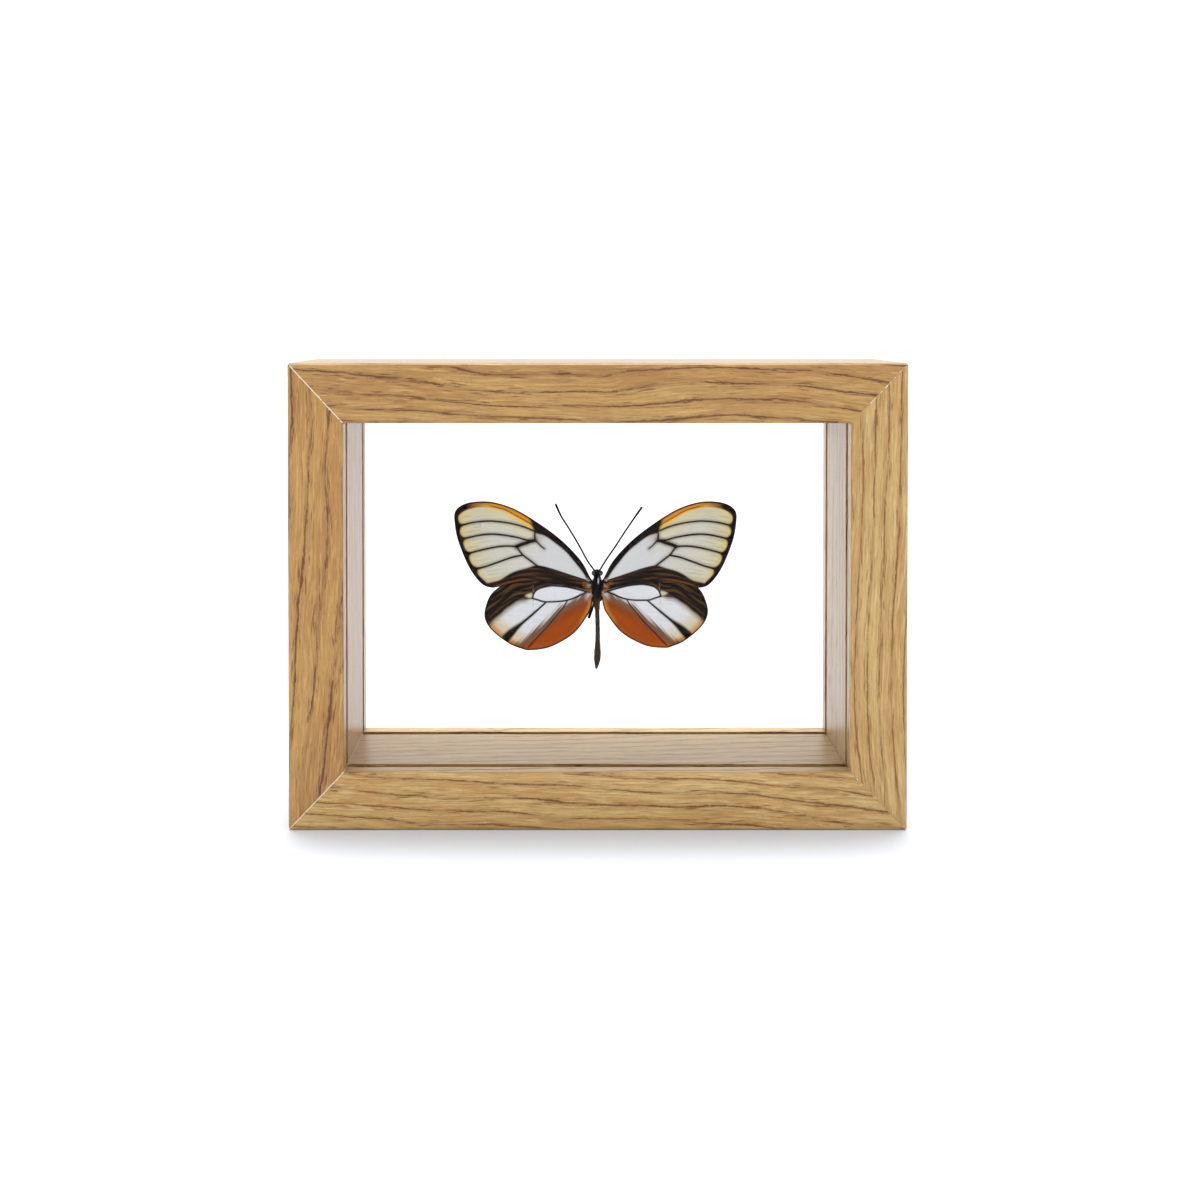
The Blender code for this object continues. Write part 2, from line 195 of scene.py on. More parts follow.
angles = np.linspace(0, 2 * np.pi, FLOOR_SIDES + 1)[:-1]
rim = np.stack([np.cos(angles), np.sin(angles), 0 * angles], axis=1) * FLOOR_RADIUS
rim[:, 2] = -FLOOR_DROP
floor_mesh = bpy.data.meshes.new("floor")
floor_mesh.from_pydata(rim.tolist(), [], [list(range(len(rim)))])
floor = bpy.data.objects.new("floor", floor_mesh)
scene.collection.objects.link(floor)
card, card_shader = new_material("matt_white_card", Base_Color=rgba("e2e7ee"), Roughness=0.9)
mottle = add(card.node_tree, "TexNoise", {"Scale": 8.0})
feed(card_shader, Base_Color=add(card.node_tree, "Mix", {
    0: mottle, 6: rgba("e0e5ec"), 7: rgba("e4e9f0")}, out=2, data_type="RGBA"))
floor_mesh.materials.append(card)
print("floor radius, m:", FLOOR_RADIUS)

# %% [markdown]
# ## Oak
#
# The rails are solid European oak, planed, sanded and oiled. Oak is ring-porous: each spring the tree
# lays down a row of wide vessels, and the plane cuts them open as thin dark dashes along the grain. A
# rail cut from a board shows the rings as slanting, slightly wavy lines. So the pattern is built the way
# the tree is: rings round a pith that lies outside the rail, bent by slow noise, with pores only in the
# early part of a ring, fine fibres everywhere, and slow changes of tone. It reads Object coordinates
# turned so that X runs along the rail, and it goes right through the wood, so the faces agree at every
# edge. Oiled oak is half matt, and at a flat angle it mirrors the white room. Light is also painted onto
# the sides: the outer ones are painted greyer, as a painted reflection of the white room, and those that
# face the opening are painted paler, as painted light, most of all between the panes.

# %% Oak
RING_SPACING = 2.1
FRAYED = 0.30 * MM
GLASS_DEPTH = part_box("glass_front")[0].y
# The slow bend of the rings and the quick one: the squeeze of the noise, its detail, its reach in mm.
BENDS = [((0.012, 0.03, 0.03), 2.0, 7.5), ((0.06, 0.2, 0.2), 3.0, 1.1)]
# Noises drawn out along the grain: how each is squeezed (along the rail, out from the pith, in depth),
# where it starts, its detail and its roughness.
NOISES = {
    "fray": ((0.40, 1.3, 1.0), 0, 4.0, 0.7),
    "dash": ((0.06, 0.42, 0.3), 0, 5.0, 0.65),
    "short": ((0.20, 3.4, 2.2), 0, 2.0, 0.5),
    "fibre": ((0.09, 3.4, 2.4), 0, 5.0, 0.75),
    "fleck": ((0.11, 2.3, 1.3), 40, 3.0, 0.5),
    "patch": ((0.025, 0.35, 0.15), 0, 3.0, 0.5),
    "grit": ((0.9, 2.4, 2.4), 0, 2.0, 0.5),
}
# Soft steps: what each reads, between which values, and what it gives at the two.
STEPS = {
    "row": ("off_row", 0.020, 0.068, 1.0, 0.0),
    "soft_row": ("off_row", 0.02, 0.24, 0.30, 0.0),
    "early": ("off_row", 0.5, 0.1, 0.2, 0.85),
    "dash": ("dash", 0.43, 0.53, 0.0, 1.0),
    "short": ("short", 0.55, 0.68, 0.0, 1.0),
    "fleck": ("fleck", 0.48, 0.68, 0.0, 0.45),
    "patch": ("patch", 0.38, 0.62, 0.0, 1.0),
}


def oak(name, turned, pith, slope, tones, drift, inwards, joints):
    """Oiled oak for one rail. In millimetres, with X along the rail:
    ring number = distance from a sloping pith line / ring spacing + slow noise."""
    made, shader = new_material(name, Roughness=0.42, Specular_IOR_Level=0.35, Coat_Weight=0.4,
                                Coat_Roughness=0.28)
    tree = made.node_tree
    honey, pale, tan, pore = (rgba(tone) for tone in tones)
    place = add(tree, "TexCoord", out=3)
    grain = add(tree, "Mapping", {
        "Vector": place, "Rotation": (0, math.pi / 2 if turned else 0, 0),
        "Scale": (1 / MM, 1 / MM, 1 / MM), "Location": (drift, 0, 0)})

    # Slow bends, a few millimetres over a whole rail, and small quick ones.
    bent = grain
    for squeeze, detail, reach in BENDS:
        bend = add(tree, "Mapping", {"Vector": grain, "Scale": squeeze})
        bend = add(tree, "TexNoise", {"Vector": bend, "Scale": 1.0, "Detail": detail}, out=1)
        bend = add(tree, "VectorMath", {0: bend, 1: (0.5, 0.5, 0.5)}, operation="SUBTRACT")
        bent = add(tree, "VectorMath", {0: bend, 1: (0, reach, reach), 2: bent}, operation="MULTIPLY_ADD")

    # Rings: how far a point is from the pith line, which leans along the rail.
    leaning = add(tree, "Mapping", {"Vector": bent, "Rotation": slope, "Location": (0, -pith[0], -pith[1])})
    across = add(tree, "VectorMath", {0: leaning, 1: (0, 1, 1)}, operation="MULTIPLY")
    from_pith = add(tree, "VectorMath", {0: across}, out=1, operation="LENGTH")
    ring = add(tree, "Math", {0: from_pith, 1: RING_SPACING}, operation="DIVIDE")
    phase = add(tree, "Math", {0: ring}, operation="FRACT")
    flow = add(tree, "CombineXYZ", {0: add(tree, "SeparateXYZ", {0: bent}), 1: from_pith,
                                    2: add(tree, "SeparateXYZ", {0: bent}, out=2)})
    parts = {}
    for kind, (squeeze, start, detail, roughness) in NOISES.items():
        drawn_out = add(tree, "Mapping", {"Vector": flow, "Scale": squeeze, "Location": (start, 0, 0)})
        parts[kind] = add(tree, "TexNoise", {
            "Vector": drawn_out, "Scale": 1.0, "Detail": detail, "Roughness": roughness})

    # The row of wide vessels: a thin line at each ring, frayed by fine noise and broken into dashes. Short
    # pores, a few millimetres long, lie mostly in the early wood. Pale flecks lie between the pores, and
    # hair-fine fibres run the whole length.
    ragged = add(tree, "Math", {0: parts["fray"], 1: 0.24, 2: phase}, operation="MULTIPLY_ADD")
    off_row = add(tree, "Math", {0: ragged, 1: 0.5}, operation="SUBTRACT")
    parts["off_row"] = add(tree, "Math", {0: off_row}, operation="ABSOLUTE")
    for kind, (source, start, end, first, last) in STEPS.items():
        parts[kind] = add(tree, "MapRange", {0: parts[source], 1: start, 2: end, 3: first, 4: last},
                          interpolation_type="SMOOTHSTEP")
    lines = add(tree, "Math", {0: parts["row"], 1: parts["dash"]}, operation="MULTIPLY")
    short = add(tree, "Math", {0: parts["short"], 1: parts["early"]}, operation="MULTIPLY")

    # The layers, from the broadest to the finest, with a last grain of cut fibre ends.
    ground = add(tree, "Mix", {0: parts["patch"], 6: tan, 7: honey}, out=2, data_type="RGBA")
    ground = add(tree, "Mix", {0: parts["fleck"], 6: ground, 7: pale}, out=2, data_type="RGBA")
    value = add(tree, "MapRange", {0: parts["fibre"], 1: 0.3, 2: 0.7, 3: 0.73, 4: 1.23})
    ground = add(tree, "VectorMath", {0: ground, "Scale": value}, operation="SCALE")
    for cover in (parts["soft_row"], short, lines):
        ground = add(tree, "Mix", {0: cover, 6: ground, 7: pore}, out=2, data_type="RGBA")
    value = add(tree, "MapRange", {0: parts["grit"], 1: 0.3, 2: 0.7, 3: 0.94, 4: 1.06})
    ground = add(tree, "VectorMath", {0: ground, "Scale": value}, operation="SCALE")

    # The sides, found by their direction, get painted light: the outer ones are greyer, a painted reflection
    # of the white room, and the inner ones paler, painted light, most of all between the panes.
    facing = add(tree, "NewGeometry", out=1)
    inside = add(tree, "VectorMath", {0: facing, 1: inwards}, out=1, operation="DOT_PRODUCT")
    outside = add(tree, "MapRange", {0: inside, 1: -0.8, 2: -1.0, 4: 0.4})
    depth = add(tree, "SeparateXYZ", {0: place}, out=1)
    behind_glass = add(tree, "MapRange", {
        0: depth, 1: GLASS_DEPTH - 2 * MM, 2: GLASS_DEPTH, 3: 0.1, 4: 0.35})
    painted_inner_light = add(tree, "MapRange", {0: inside, 1: 0.6, 2: 0.95})
    painted_inner_light = add(tree, "Math", {0: painted_inner_light, 1: behind_glass}, operation="MULTIPLY")
    # Painted light: a painted grey reflection on the outer sides, painted paleness on the inner sides.
    for cover, tone in ((outside, "a39a88"), (painted_inner_light, "dcc090")):
        ground = add(tree, "Mix", {0: cover, 6: ground, 7: rgba(tone)}, out=2, data_type="RGBA")

    # Beside a mitre the saw frayed the fibres, and glue keeps their torn ends pale.
    torn = add(tree, "TexNoise", {"Vector": place, "Scale": 0.9 / MM, "Detail": 2.0})
    for point, normal, share in joints:
        away = add(tree, "VectorMath", {0: place, 1: point}, operation="SUBTRACT")
        away = add(tree, "VectorMath", {0: away, 1: normal}, out=1, operation="DOT_PRODUCT")
        away = add(tree, "Math", {0: away}, operation="ABSOLUTE")
        reach = add(tree, "MapRange", {0: torn, 1: 0.70 - share / 3, 2: 0.80 - share / 3, 4: FRAYED})
        frayed = add(tree, "Math", {0: away, 1: reach}, operation="LESS_THAN")
        ground = add(tree, "Mix", {0: frayed, 6: ground, 7: rgba("e2d2b4")}, out=2, data_type="RGBA")

    # Open pores are little ditches, and rougher than the oiled surface round them.
    ditch = add(tree, "Math", {0: lines, 1: short}, operation="MAXIMUM")
    height = add(tree, "Math", {0: parts["fibre"], 1: 0.25, 2: ditch}, operation="MULTIPLY_ADD")
    bump = add(tree, "Bump", {"Height": height, "Strength": 0.4, "Distance": 0.05 * MM}, invert=True)
    rough = add(tree, "MapRange", {0: ditch, 3: 0.42, 4: 0.7})
    feed(shader, Base_Color=ground, Roughness=rough, Normal=bump)
    return made


def dress(name, made):
    """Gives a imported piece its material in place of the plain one."""
    nodes[name].data.materials.clear()
    nodes[name].data.materials.append(made)


# Each corner: the outer and the inner end of its mitre, and how much of its line shows pale.
opening_left, opening_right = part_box("rail_left")[1].x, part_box("rail_right")[0].x
opening_top, opening_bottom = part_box("rail_top")[0].z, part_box("rail_bottom")[1].z
CORNERS = {
    "top_left": ((cad_low.x, cad_high.z), (opening_left, opening_top), 0.24),
    "top_right": ((cad_high.x, cad_high.z), (opening_right, opening_top), 0.10),
    "bottom_left": ((cad_low.x, cad_low.z), (opening_left, opening_bottom), 0.27),
    "bottom_right": ((cad_high.x, cad_low.z), (opening_right, opening_bottom), 0.03),
}
# Each rail: turned or not, where the pith lies (depth, across), its lean, its four tones, its own
# stretch of the pattern, and the way to the glass.
RAILS = {
    "rail_top": (
        False, (32, 138), (0, -0.022, 0.02), ("b18848", "cba462", "a3763a", "66380a"), 11.0, (0, 0, -1)),
    "rail_bottom": (
        False, (28, -30), (0, -0.045, -0.03), ("c5a162", "dbc088", "b98e4d", "75470f"), 77.0, (0, 0, 1)),
    "rail_left": (
        True, (-58, 40), (0, 0.01, 0.03), ("b38744", "cea35d", "a57636", "65380a"), 140.0, (1, 0, 0)),
    "rail_right": (
        True, (30, -105), (0, -0.012, 0.02), ("bf9c5e", "d6ba82", "b38b4b", "7c4c14"), 230.0, (-1, 0, 0)),
}
for rail, choices in RAILS.items():
    joints = []
    for corner, (outer, inner, share) in CORNERS.items():
        if rail.removeprefix("rail_") in corner:
            ahead = Vector((inner[0] - outer[0], 0, inner[1] - outer[1])).normalized()
            joints.append(((inner[0], 0, inner[1]), (-ahead.z, 0, ahead.x), share))
    dress(rail, oak(f"oiled_oak_{rail}", *choices, joints))
print("oak rings every", RING_SPACING, "mm")

# %% [markdown]
# ## Glass
#
# The panes are float glass, two millimetres thick, so clear that only the grooves give them away. Plain
# transmission lets the whole room through. The photograph shows hardly any reflection over the dark wings,
# as on glass with a thin anti-glare coating, so the index is that of the coating and not of bare glass.

# %% Glass
glass = new_material("coated_float_glass", Base_Color=rgba("fefefe"), Roughness=0.0, IOR=1.1,
                     Transmission_Weight=1.0)[0]
for pane in ("glass_front", "glass_rear"):
    dress(pane, glass)

# %% [markdown]
# ## Surfaces from numbers
#
# Every new piece below is a surface worked out with numpy. `smooth_curve` draws an even curve through a
# few chosen points. `closed_shell` joins a stack of rings into a closed skin, with a pole at each end.
# `tube_rings` makes such a stack by carrying a circle along a path. `piece` puts points and faces into a
# mesh, and `finish_piece` gives a mesh its material and its body.

# %% Surfaces from numbers
def smooth_curve(points, shares):
    """Points at the given shares of the length of a Catmull-Rom curve through a few points."""
    p = np.array(points, float)
    ends = np.vstack([2 * p[0] - p[1], p, 2 * p[-1] - p[-2]])
    t = np.linspace(0, 1, 24, endpoint=False)[:, None]
    spans = []
    for a, b, c, d in zip(ends, ends[1:], ends[2:], ends[3:]):
        bend = 2 * a - 5 * b + 4 * c - d
        twist = 3 * b - a - 3 * c + d
        spans.append(0.5 * (2 * b + (c - a) * t + bend * t ** 2 + twist * t ** 3))
    fine = np.vstack(spans + [p[-1:]])
    along = np.concatenate([[0], np.cumsum(np.linalg.norm(np.diff(fine, axis=0), axis=1))])
    at = np.asarray(shares) * along[-1]
    return np.stack([np.interp(at, along, fine[:, k]) for k in range(p.shape[1])], axis=1)


def closed_shell(rings):
    """Rings joined by quads, with a fan to a pole, the ring's middle, at each end."""
    count, around, _ = rings.shape
    index = np.arange(count * around).reshape(count, around)
    after = np.roll(index, -1, axis=1)
    quads = np.stack([index[:-1], after[:-1], after[1:], index[1:]], axis=-1).reshape(-1, 4)
    first, last = np.full(around, count * around), np.full(around, count * around + 1)
    fans = np.vstack([np.stack([after[0], index[0], first], 1), np.stack([index[-1], after[-1], last], 1)])
    points = np.vstack([rings.reshape(-1, 3), rings[0].mean(0), rings[-1].mean(0)])
    return points, quads.tolist() + fans.tolist()


def tube_rings(path, radii, sides=10, reference=(0, 1, 0)):
    """A circle carried along a path: point = path + radius (cos a · side + sin a · up), where side is
    square to the path and to the reference direction."""
    ahead = np.gradient(np.asarray(path, float), axis=0)
    ahead /= np.linalg.norm(ahead, axis=1)[:, None]
    side = np.cross(ahead, reference)
    side /= np.linalg.norm(side, axis=1)[:, None]
    up = np.cross(side, ahead)
    turn = np.linspace(0, 2 * np.pi, sides, endpoint=False)
    ring = np.cos(turn)[:, None, None] * side + np.sin(turn)[:, None, None] * up
    radii = np.broadcast_to(radii, len(path))
    return (np.asarray(path) + ring * radii[:, None]).transpose(1, 0, 2)


def gather(shells):
    """Several shells' points and faces as one list of points and one of faces."""
    points, faces, start = [], [], 0
    for some_points, some_faces in shells:
        points.append(some_points)
        faces += [[start + corner for corner in face] for face in some_faces]
        start += len(some_points)
    return np.vstack(points), faces


def finish_piece(name, mesh, made, replaced=None, smooth=True, merge=0.0):
    """An object from a mesh, its faces turned outwards, with its material and its body. Points
    nearer to each other than merge become one."""
    work = bmesh.new()
    work.from_mesh(mesh)
    if merge:
        bmesh.ops.remove_doubles(work, verts=work.verts, dist=merge)
    bmesh.ops.recalc_face_normals(work, faces=work.faces)
    work.to_mesh(mesh)
    work.free()
    if smooth:
        mesh.shade_smooth()
    mesh.materials.append(made)
    thing = bpy.data.objects.new(name, mesh)
    scene.collection.objects.link(thing)
    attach(thing, "root")
    if replaced:
        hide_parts(replaced)
    print(name, len(mesh.polygons), "faces")
    return thing


def piece(name, shell, made, replaced=None, smooth=True):
    """A piece from points and faces."""
    points, faces = shell
    mesh = bpy.data.meshes.new(name)
    mesh.from_pydata(np.asarray(points).tolist(), [], faces)
    return finish_piece(name, mesh, made, replaced, smooth)


# %% [markdown]
# ## Glue in the mitres
#
# The rails meet at 45 degrees, and each joint shows a hairline of pale glue and raised fibres. It is
# clear at the two left corners and faint at the right ones. Each line is a thin plate in the joint, cut
# to the rail's own section and set a touch below the surface.

# %% Glue in the mitres
JOINT_GAP, BELOW_FACE = 0.24 * MM, 0.03 * MM
INNER_ROUND, CORNER_ROUND = 0.4 * MM, 0.8 * MM
LIP, GROOVE_WIDTH, GROOVE_DEPTH = 4.3 * MM, 2.6 * MM, 3.0 * MM
ROUND_STEPS = 8


def joint_section():
    """The rail's section as shares of its width and depths, set in by a hair: front edge, inner side
    with its two grooves, back edge and outer side."""
    front, back = cad_low.y + BELOW_FACE, cad_high.y - BELOW_FACE
    turn = np.linspace(0, np.pi / 2, ROUND_STEPS)
    corner = np.stack([1 - np.cos(turn), 1 - np.sin(turn)], axis=1)
    r, e = OUTER_ROUND, INNER_ROUND
    rows = [(r * a, front + r * b, 0) for a, b in corner]
    rows += [(-e * a, front + e * b, 1) for a, b in corner[::-1]]
    for start in (cad_low.y + LIP, cad_high.y - LIP - GROOVE_WIDTH):
        end = start + GROOVE_WIDTH
        rows += [(0, start, 1), (-GROOVE_DEPTH, start, 1), (-GROOVE_DEPTH, end, 1), (0, end, 1)]
    rows += [(-e * a, back - e * b, 1) for a, b in corner]
    rows += [(r * a, back - r * b, 0) for a, b in corner[::-1]]
    return np.array(rows)


def joint_plate(outer, inner):
    """The section laid along the mitre from the outer to the inner corner, and drawn out to both sides
    by half the gap: point = outer + share · (inner - outer) + distance along + side · half gap."""
    outer, inner = np.array(outer), np.array(inner)
    along = (inner - outer) / np.linalg.norm(inner - outer)
    across = np.array([-along[1], along[0]])
    set_in = CORNER_ROUND * (math.sqrt(2) - 1) + BELOW_FACE
    rows = joint_section()
    flat = np.where(rows[:, 2:3] > 0, inner + along * (rows[:, :1] * math.sqrt(2) - BELOW_FACE),
                    outer + along * (rows[:, :1] * math.sqrt(2) + set_in))
    sides = []
    for side in (-0.5, 0.5):
        place = flat + across * side * JOINT_GAP
        sides.append(np.stack([place[:, 0], rows[:, 1], place[:, 1]], axis=1))
    n = len(rows)
    around = [[i, (i + 1) % n, n + (i + 1) % n, n + i] for i in range(n)]
    return np.vstack(sides), [list(range(n))[::-1], list(range(n, 2 * n))] + around


def joint_glue(name, share):
    """Dried wood glue with fibres: pale cream where it shows, the wood's own tone elsewhere."""
    made, shader = new_material(name, Roughness=0.55)
    tree = made.node_tree
    place = add(tree, "TexCoord", out=3)
    noise = add(tree, "TexNoise", {"Vector": place, "Scale": 0.9 / MM, "Detail": 2.0})
    shown = add(tree, "MapRange", {0: noise, 1: 0.62 - share, 2: 0.70 - share})
    feed(shader, Base_Color=add(tree, "Mix", {
        0: shown, 6: rgba("bd9662"), 7: rgba("e6d8b8")}, out=2, data_type="RGBA"))
    return made


for corner, (outer, inner, share) in CORNERS.items():
    piece(f"mitre_glue_{corner}", joint_plate(outer, inner),
          joint_glue(f"dried_wood_glue_{corner}", share), smooth=False)

# %% [markdown]
# ## The butterfly's measures
#
# All places on the butterfly are in millimetres: outwards from the body's axis and up from its middle.
# They were read from the photograph, on the left side, which is the wider one. The right wings
# are its mirror, spread a little less, and the right hindwing is lifted by two degrees.

# %% The butterfly's measures
body_low, body_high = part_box("body")
MIDDLE = Vector((0.36, 10.0, 49.9)) * MM
WINGS_IN_FRONT, FOREWING_OVER_HINDWING = 0.5, 0.55
TIP_DROOP, WING_LENGTH = 0.9, 35.0
RIGHT_SPREAD, RIGHT_HINDWING_LIFT = 0.975, math.radians(2.0)
FOREWING_OUTLINE = [
    (0.9, 1.6), (1.7, 2.4), (4.0, 6.6), (8.7, 11.6), (14.3, 15.8), (20.2, 19.3), (25.7, 21.0), (30.3, 21.0),
    (33.2, 20.1), (34.7, 18.6), (34.9, 16.6), (34.4, 13.0), (33.4, 9.8), (31.7, 5.8), (29.7, 2.6),
    (27.8, 0.7), (25.9, 0.1), (24.2, 0.3), (21.4, 1.1), (17.0, 1.8), (10.4, 1.2), (0.9, 0.3),
]
HINDWING_OUTLINE = [
    (0.8, -0.2), (8.0, 2.2), (15.0, 3.0), (21.0, 2.0), (24.5, -0.2), (26.1, -1.8), (27.1, -4.0),
    (27.6, -6.7), (26.9, -9.0), (25.0, -11.2), (21.4, -13.8), (18.6, -14.9), (16.3, -15.3),
    (11.3, -14.4), (5.7, -11.1), (2.2, -6.5), (1.3, -4.2), (1.1, -2.8), (0.8, -1.6),
]
FOREWING_TIP, HINDWING_TIP = 0.48, 0.44


def in_place(flat, side, behind, lift=0.0, depth=0.0):
    """Flat wing places in the frame: mirrored to their side, turned by the lift, and drooping
    backwards by the square of the distance out. Depth is measured towards the front."""
    out = flat[:, 0] * (1.0 if side < 0 else RIGHT_SPREAD)
    up = flat[:, 1]
    out, up = out * math.cos(lift) - up * math.sin(lift), out * math.sin(lift) + up * math.cos(lift)
    back = TIP_DROOP * (out / WING_LENGTH) ** 2 - WINGS_IN_FRONT + behind - depth
    return np.stack([side * out, back, up], axis=1) * MM + np.array(MIDDLE)


print("body, mm:", [round(side / MM, 1) for side in body_high - body_low])

# %% [markdown]
# ## Painting scales
#
# A butterfly's wing is a clear film with dust-fine scales, laid like tiles. Here most scales are thin
# and pale, so the film lets a little light through, with brown-black scales along veins and edges and
# orange ones in places. No picture is used: each patch is a rule about distance, such as "nearer than
# half a millimetre to this vein", with a soft border. The rules are worked out for every point of the
# wing's grid, and the colours are laid over each other like layers of paint. Distances to veins and
# margin are joined smoothly, which rounds the ends of the pale cells, as on the real wing.

# %% Painting scales
WAVES = 12


def smooth_step(low, high, x):
    """0 below low, 1 above high, and a smooth S between. High may be the lower one."""
    t = np.clip((x - low) / (high - low), 0, 1)
    return t * t * (3 - 2 * t)


def fine(points, count=60):
    """A smooth curve through chosen points, as many short steps."""
    return smooth_curve(points, np.linspace(0, 1, count))


def distance(spots, curve):
    """The shortest distance from each spot to a curve of short steps."""
    start, step = curve[:-1], np.diff(curve, axis=0)
    away = spots[:, None, :] - start
    share = np.clip((away * step).sum(2) / (step ** 2).sum(1), 0, 1)
    return np.linalg.norm(away - share[..., None] * step, axis=2).min(1)


def over(spots, points):
    """How far a spot lies above a curve that runs outwards, square to it. It is negative below."""
    curve = fine(points, 120)
    curve = curve[np.argsort(curve[:, 0])]
    slope = np.gradient(curve[:, 1], curve[:, 0] + np.arange(len(curve)) * 1e-6)
    rise = spots[:, 1] - np.interp(spots[:, 0], curve[:, 0], curve[:, 1])
    return rise / np.sqrt(1 + np.interp(spots[:, 0], curve[:, 0], slope) ** 2)


def soft_min(a, b, reach):
    """The smaller of two distances, rounded where they are nearly equal."""
    h = np.clip(0.5 + 0.5 * (b - a) / reach, 0, 1)
    return b * (1 - h) + a * h - reach * h * (1 - h)


def lay(paint, hex_colour, cover):
    """Lays one layer of scales over the paint, as strong as its cover at each spot."""
    cover = np.clip(cover, 0, 1)[:, None]
    paint[:] = paint * (1 - cover) + linear(hex_colour) * cover


def ripples(spots, size, seed):
    """Smooth random values, mostly from -1 to 1: a sum of sine waves in random directions, each about
    size long."""
    draw = np.random.default_rng(seed)
    total = np.zeros(len(spots))
    for _ in range(WAVES):
        angle, phase = draw.uniform(0, 2 * np.pi, 2)
        wave = 2 * np.pi / (size * draw.uniform(0.7, 1.5))
        total += np.sin(wave * (spots[:, 0] * np.cos(angle) + spots[:, 1] * np.sin(angle)) + phase)
    return total / 4


def streaks(spots, direction, size, seed):
    """Ripples drawn out along a direction, given by its cosine and sine: spots are first turned so that
    the direction is X, then squeezed along it and stretched across it."""
    (cosine, sine), squeeze = direction
    turned = spots @ np.array([[cosine, sine], [-sine, cosine]]).T
    return ripples(turned * squeeze, size, seed)


def vein_lines(veins, widths, usual):
    """How strongly the veins show at each spot, from 0 to 1, each with its own half-width."""
    wide = [widths.get(name, usual) for name in veins]
    return np.max([smooth_step(w + 0.14, w - 0.06, away) for w, away in zip(wide, veins.values())], axis=0)


def clearness_and_relief(spots, coloured, nearest, seed):
    """Clearness = 0.86 + 0.14 · the strongest colour. Relief = a low ridge on each vein + slow waves."""
    relief = 0.10 * np.exp(-(nearest / 0.3) ** 2) + 0.05 * ripples(spots * [0.5, 1.0], 5.0, seed)
    return 0.86 + 0.14 * np.max(coloured, axis=0), relief


print("a smooth step at its middle:", smooth_step(0, 1, np.array([0.5])))

# %% [markdown]
# ## The forewing's pattern
#
# The leading edge is a thin black rod with an orange strip inside it, which turns into a broad dark band
# towards the body. A second dark band fills the trailing edge. Between them lie five pale cells at the
# outer end, yellowish with a warmer rim, and two whitish ones near the body.

# %% The forewing's pattern
DARK, BROWN, SMOKE = "180b04", "46280f", "8d7f6a"
FOREWING_VEINS = {
    "first": [(33.6, 15.2), (30.3, 16.05), (26.6, 16.4), (23.3, 16.2), (20.2, 15.65), (17.6, 14.9),
              (15.6, 14.1)],
    "second": [(33.6, 11.8), (29.1, 12.85), (25.9, 13.2), (22.8, 13.0), (19.4, 12.4), (17.2, 11.8),
               (15.2, 11.7)],
    "third": [(32.0, 8.2), (29.5, 9.0), (25.65, 9.9), (22.5, 10.3), (19.7, 10.2)],
    "bar": [(19.7, 10.2), (18.4, 10.75), (17.25, 11.1), (16.2, 11.5), (15.2, 11.7)],
    "fourth": [(30.2, 4.6), (27.2, 5.3), (24.1, 6.4), (21.0, 7.5), (18.3, 8.1)],
    "discal": [(19.7, 10.2), (18.3, 8.3), (16.6, 7.0), (14.8, 5.6)],
    "cell_end": [(15.2, 13.95), (15.25, 12.9), (15.15, 11.8)],
    "recurrent": [(15.15, 11.8), (13.8, 10.4), (12.9, 9.7)],
}
HIND_BAND = [(28.6, 0.4), (27.2, 1.2), (24.1, 1.8), (21.7, 3.35), (19.4, 4.3), (17.0, 5.0), (14.8, 5.55),
             (11.5, 4.85), (7.4, 3.5), (2.6, 1.95), (1.2, 1.5)]
COSTAL_BAND = [(16.4, 15.0), (14.9, 13.5), (12.9, 12.85), (10.2, 11.0), (7.7, 8.95), (5.6, 6.5),
               (3.7, 4.1), (2.4, 2.1), (1.0, 0.2)]
ORANGE_EDGE = [(34.5, 16.2), (33.6, 17.9), (32.3, 18.9), (30.6, 19.5), (28.1, 19.8), (24.8, 19.2),
               (22.0, 18.2), (19.6, 16.7), (17.3, 15.2), (15.9, 14.3), (14.9, 13.9), (14.0, 12.9)]
STRIP_LINE = [(33.0, 20.4), (29.0, 20.4), (26.5, 20.1), (24.0, 19.6), (22.0, 18.95), (19.6, 17.65),
              (17.3, 16.35), (15.4, 15.2), (13.8, 14.2)]
TRAILING_EDGE = [(26.5, 0.2), (24.2, 0.3), (21.4, 1.1), (17.0, 1.8), (10.4, 1.2), (1.7, 0.5)]
# The way the fine streaks run: cosine and sine, then how they are squeezed along and across.
ALONG_CELLS = ((0.98, -0.17), (0.16, 1.7))


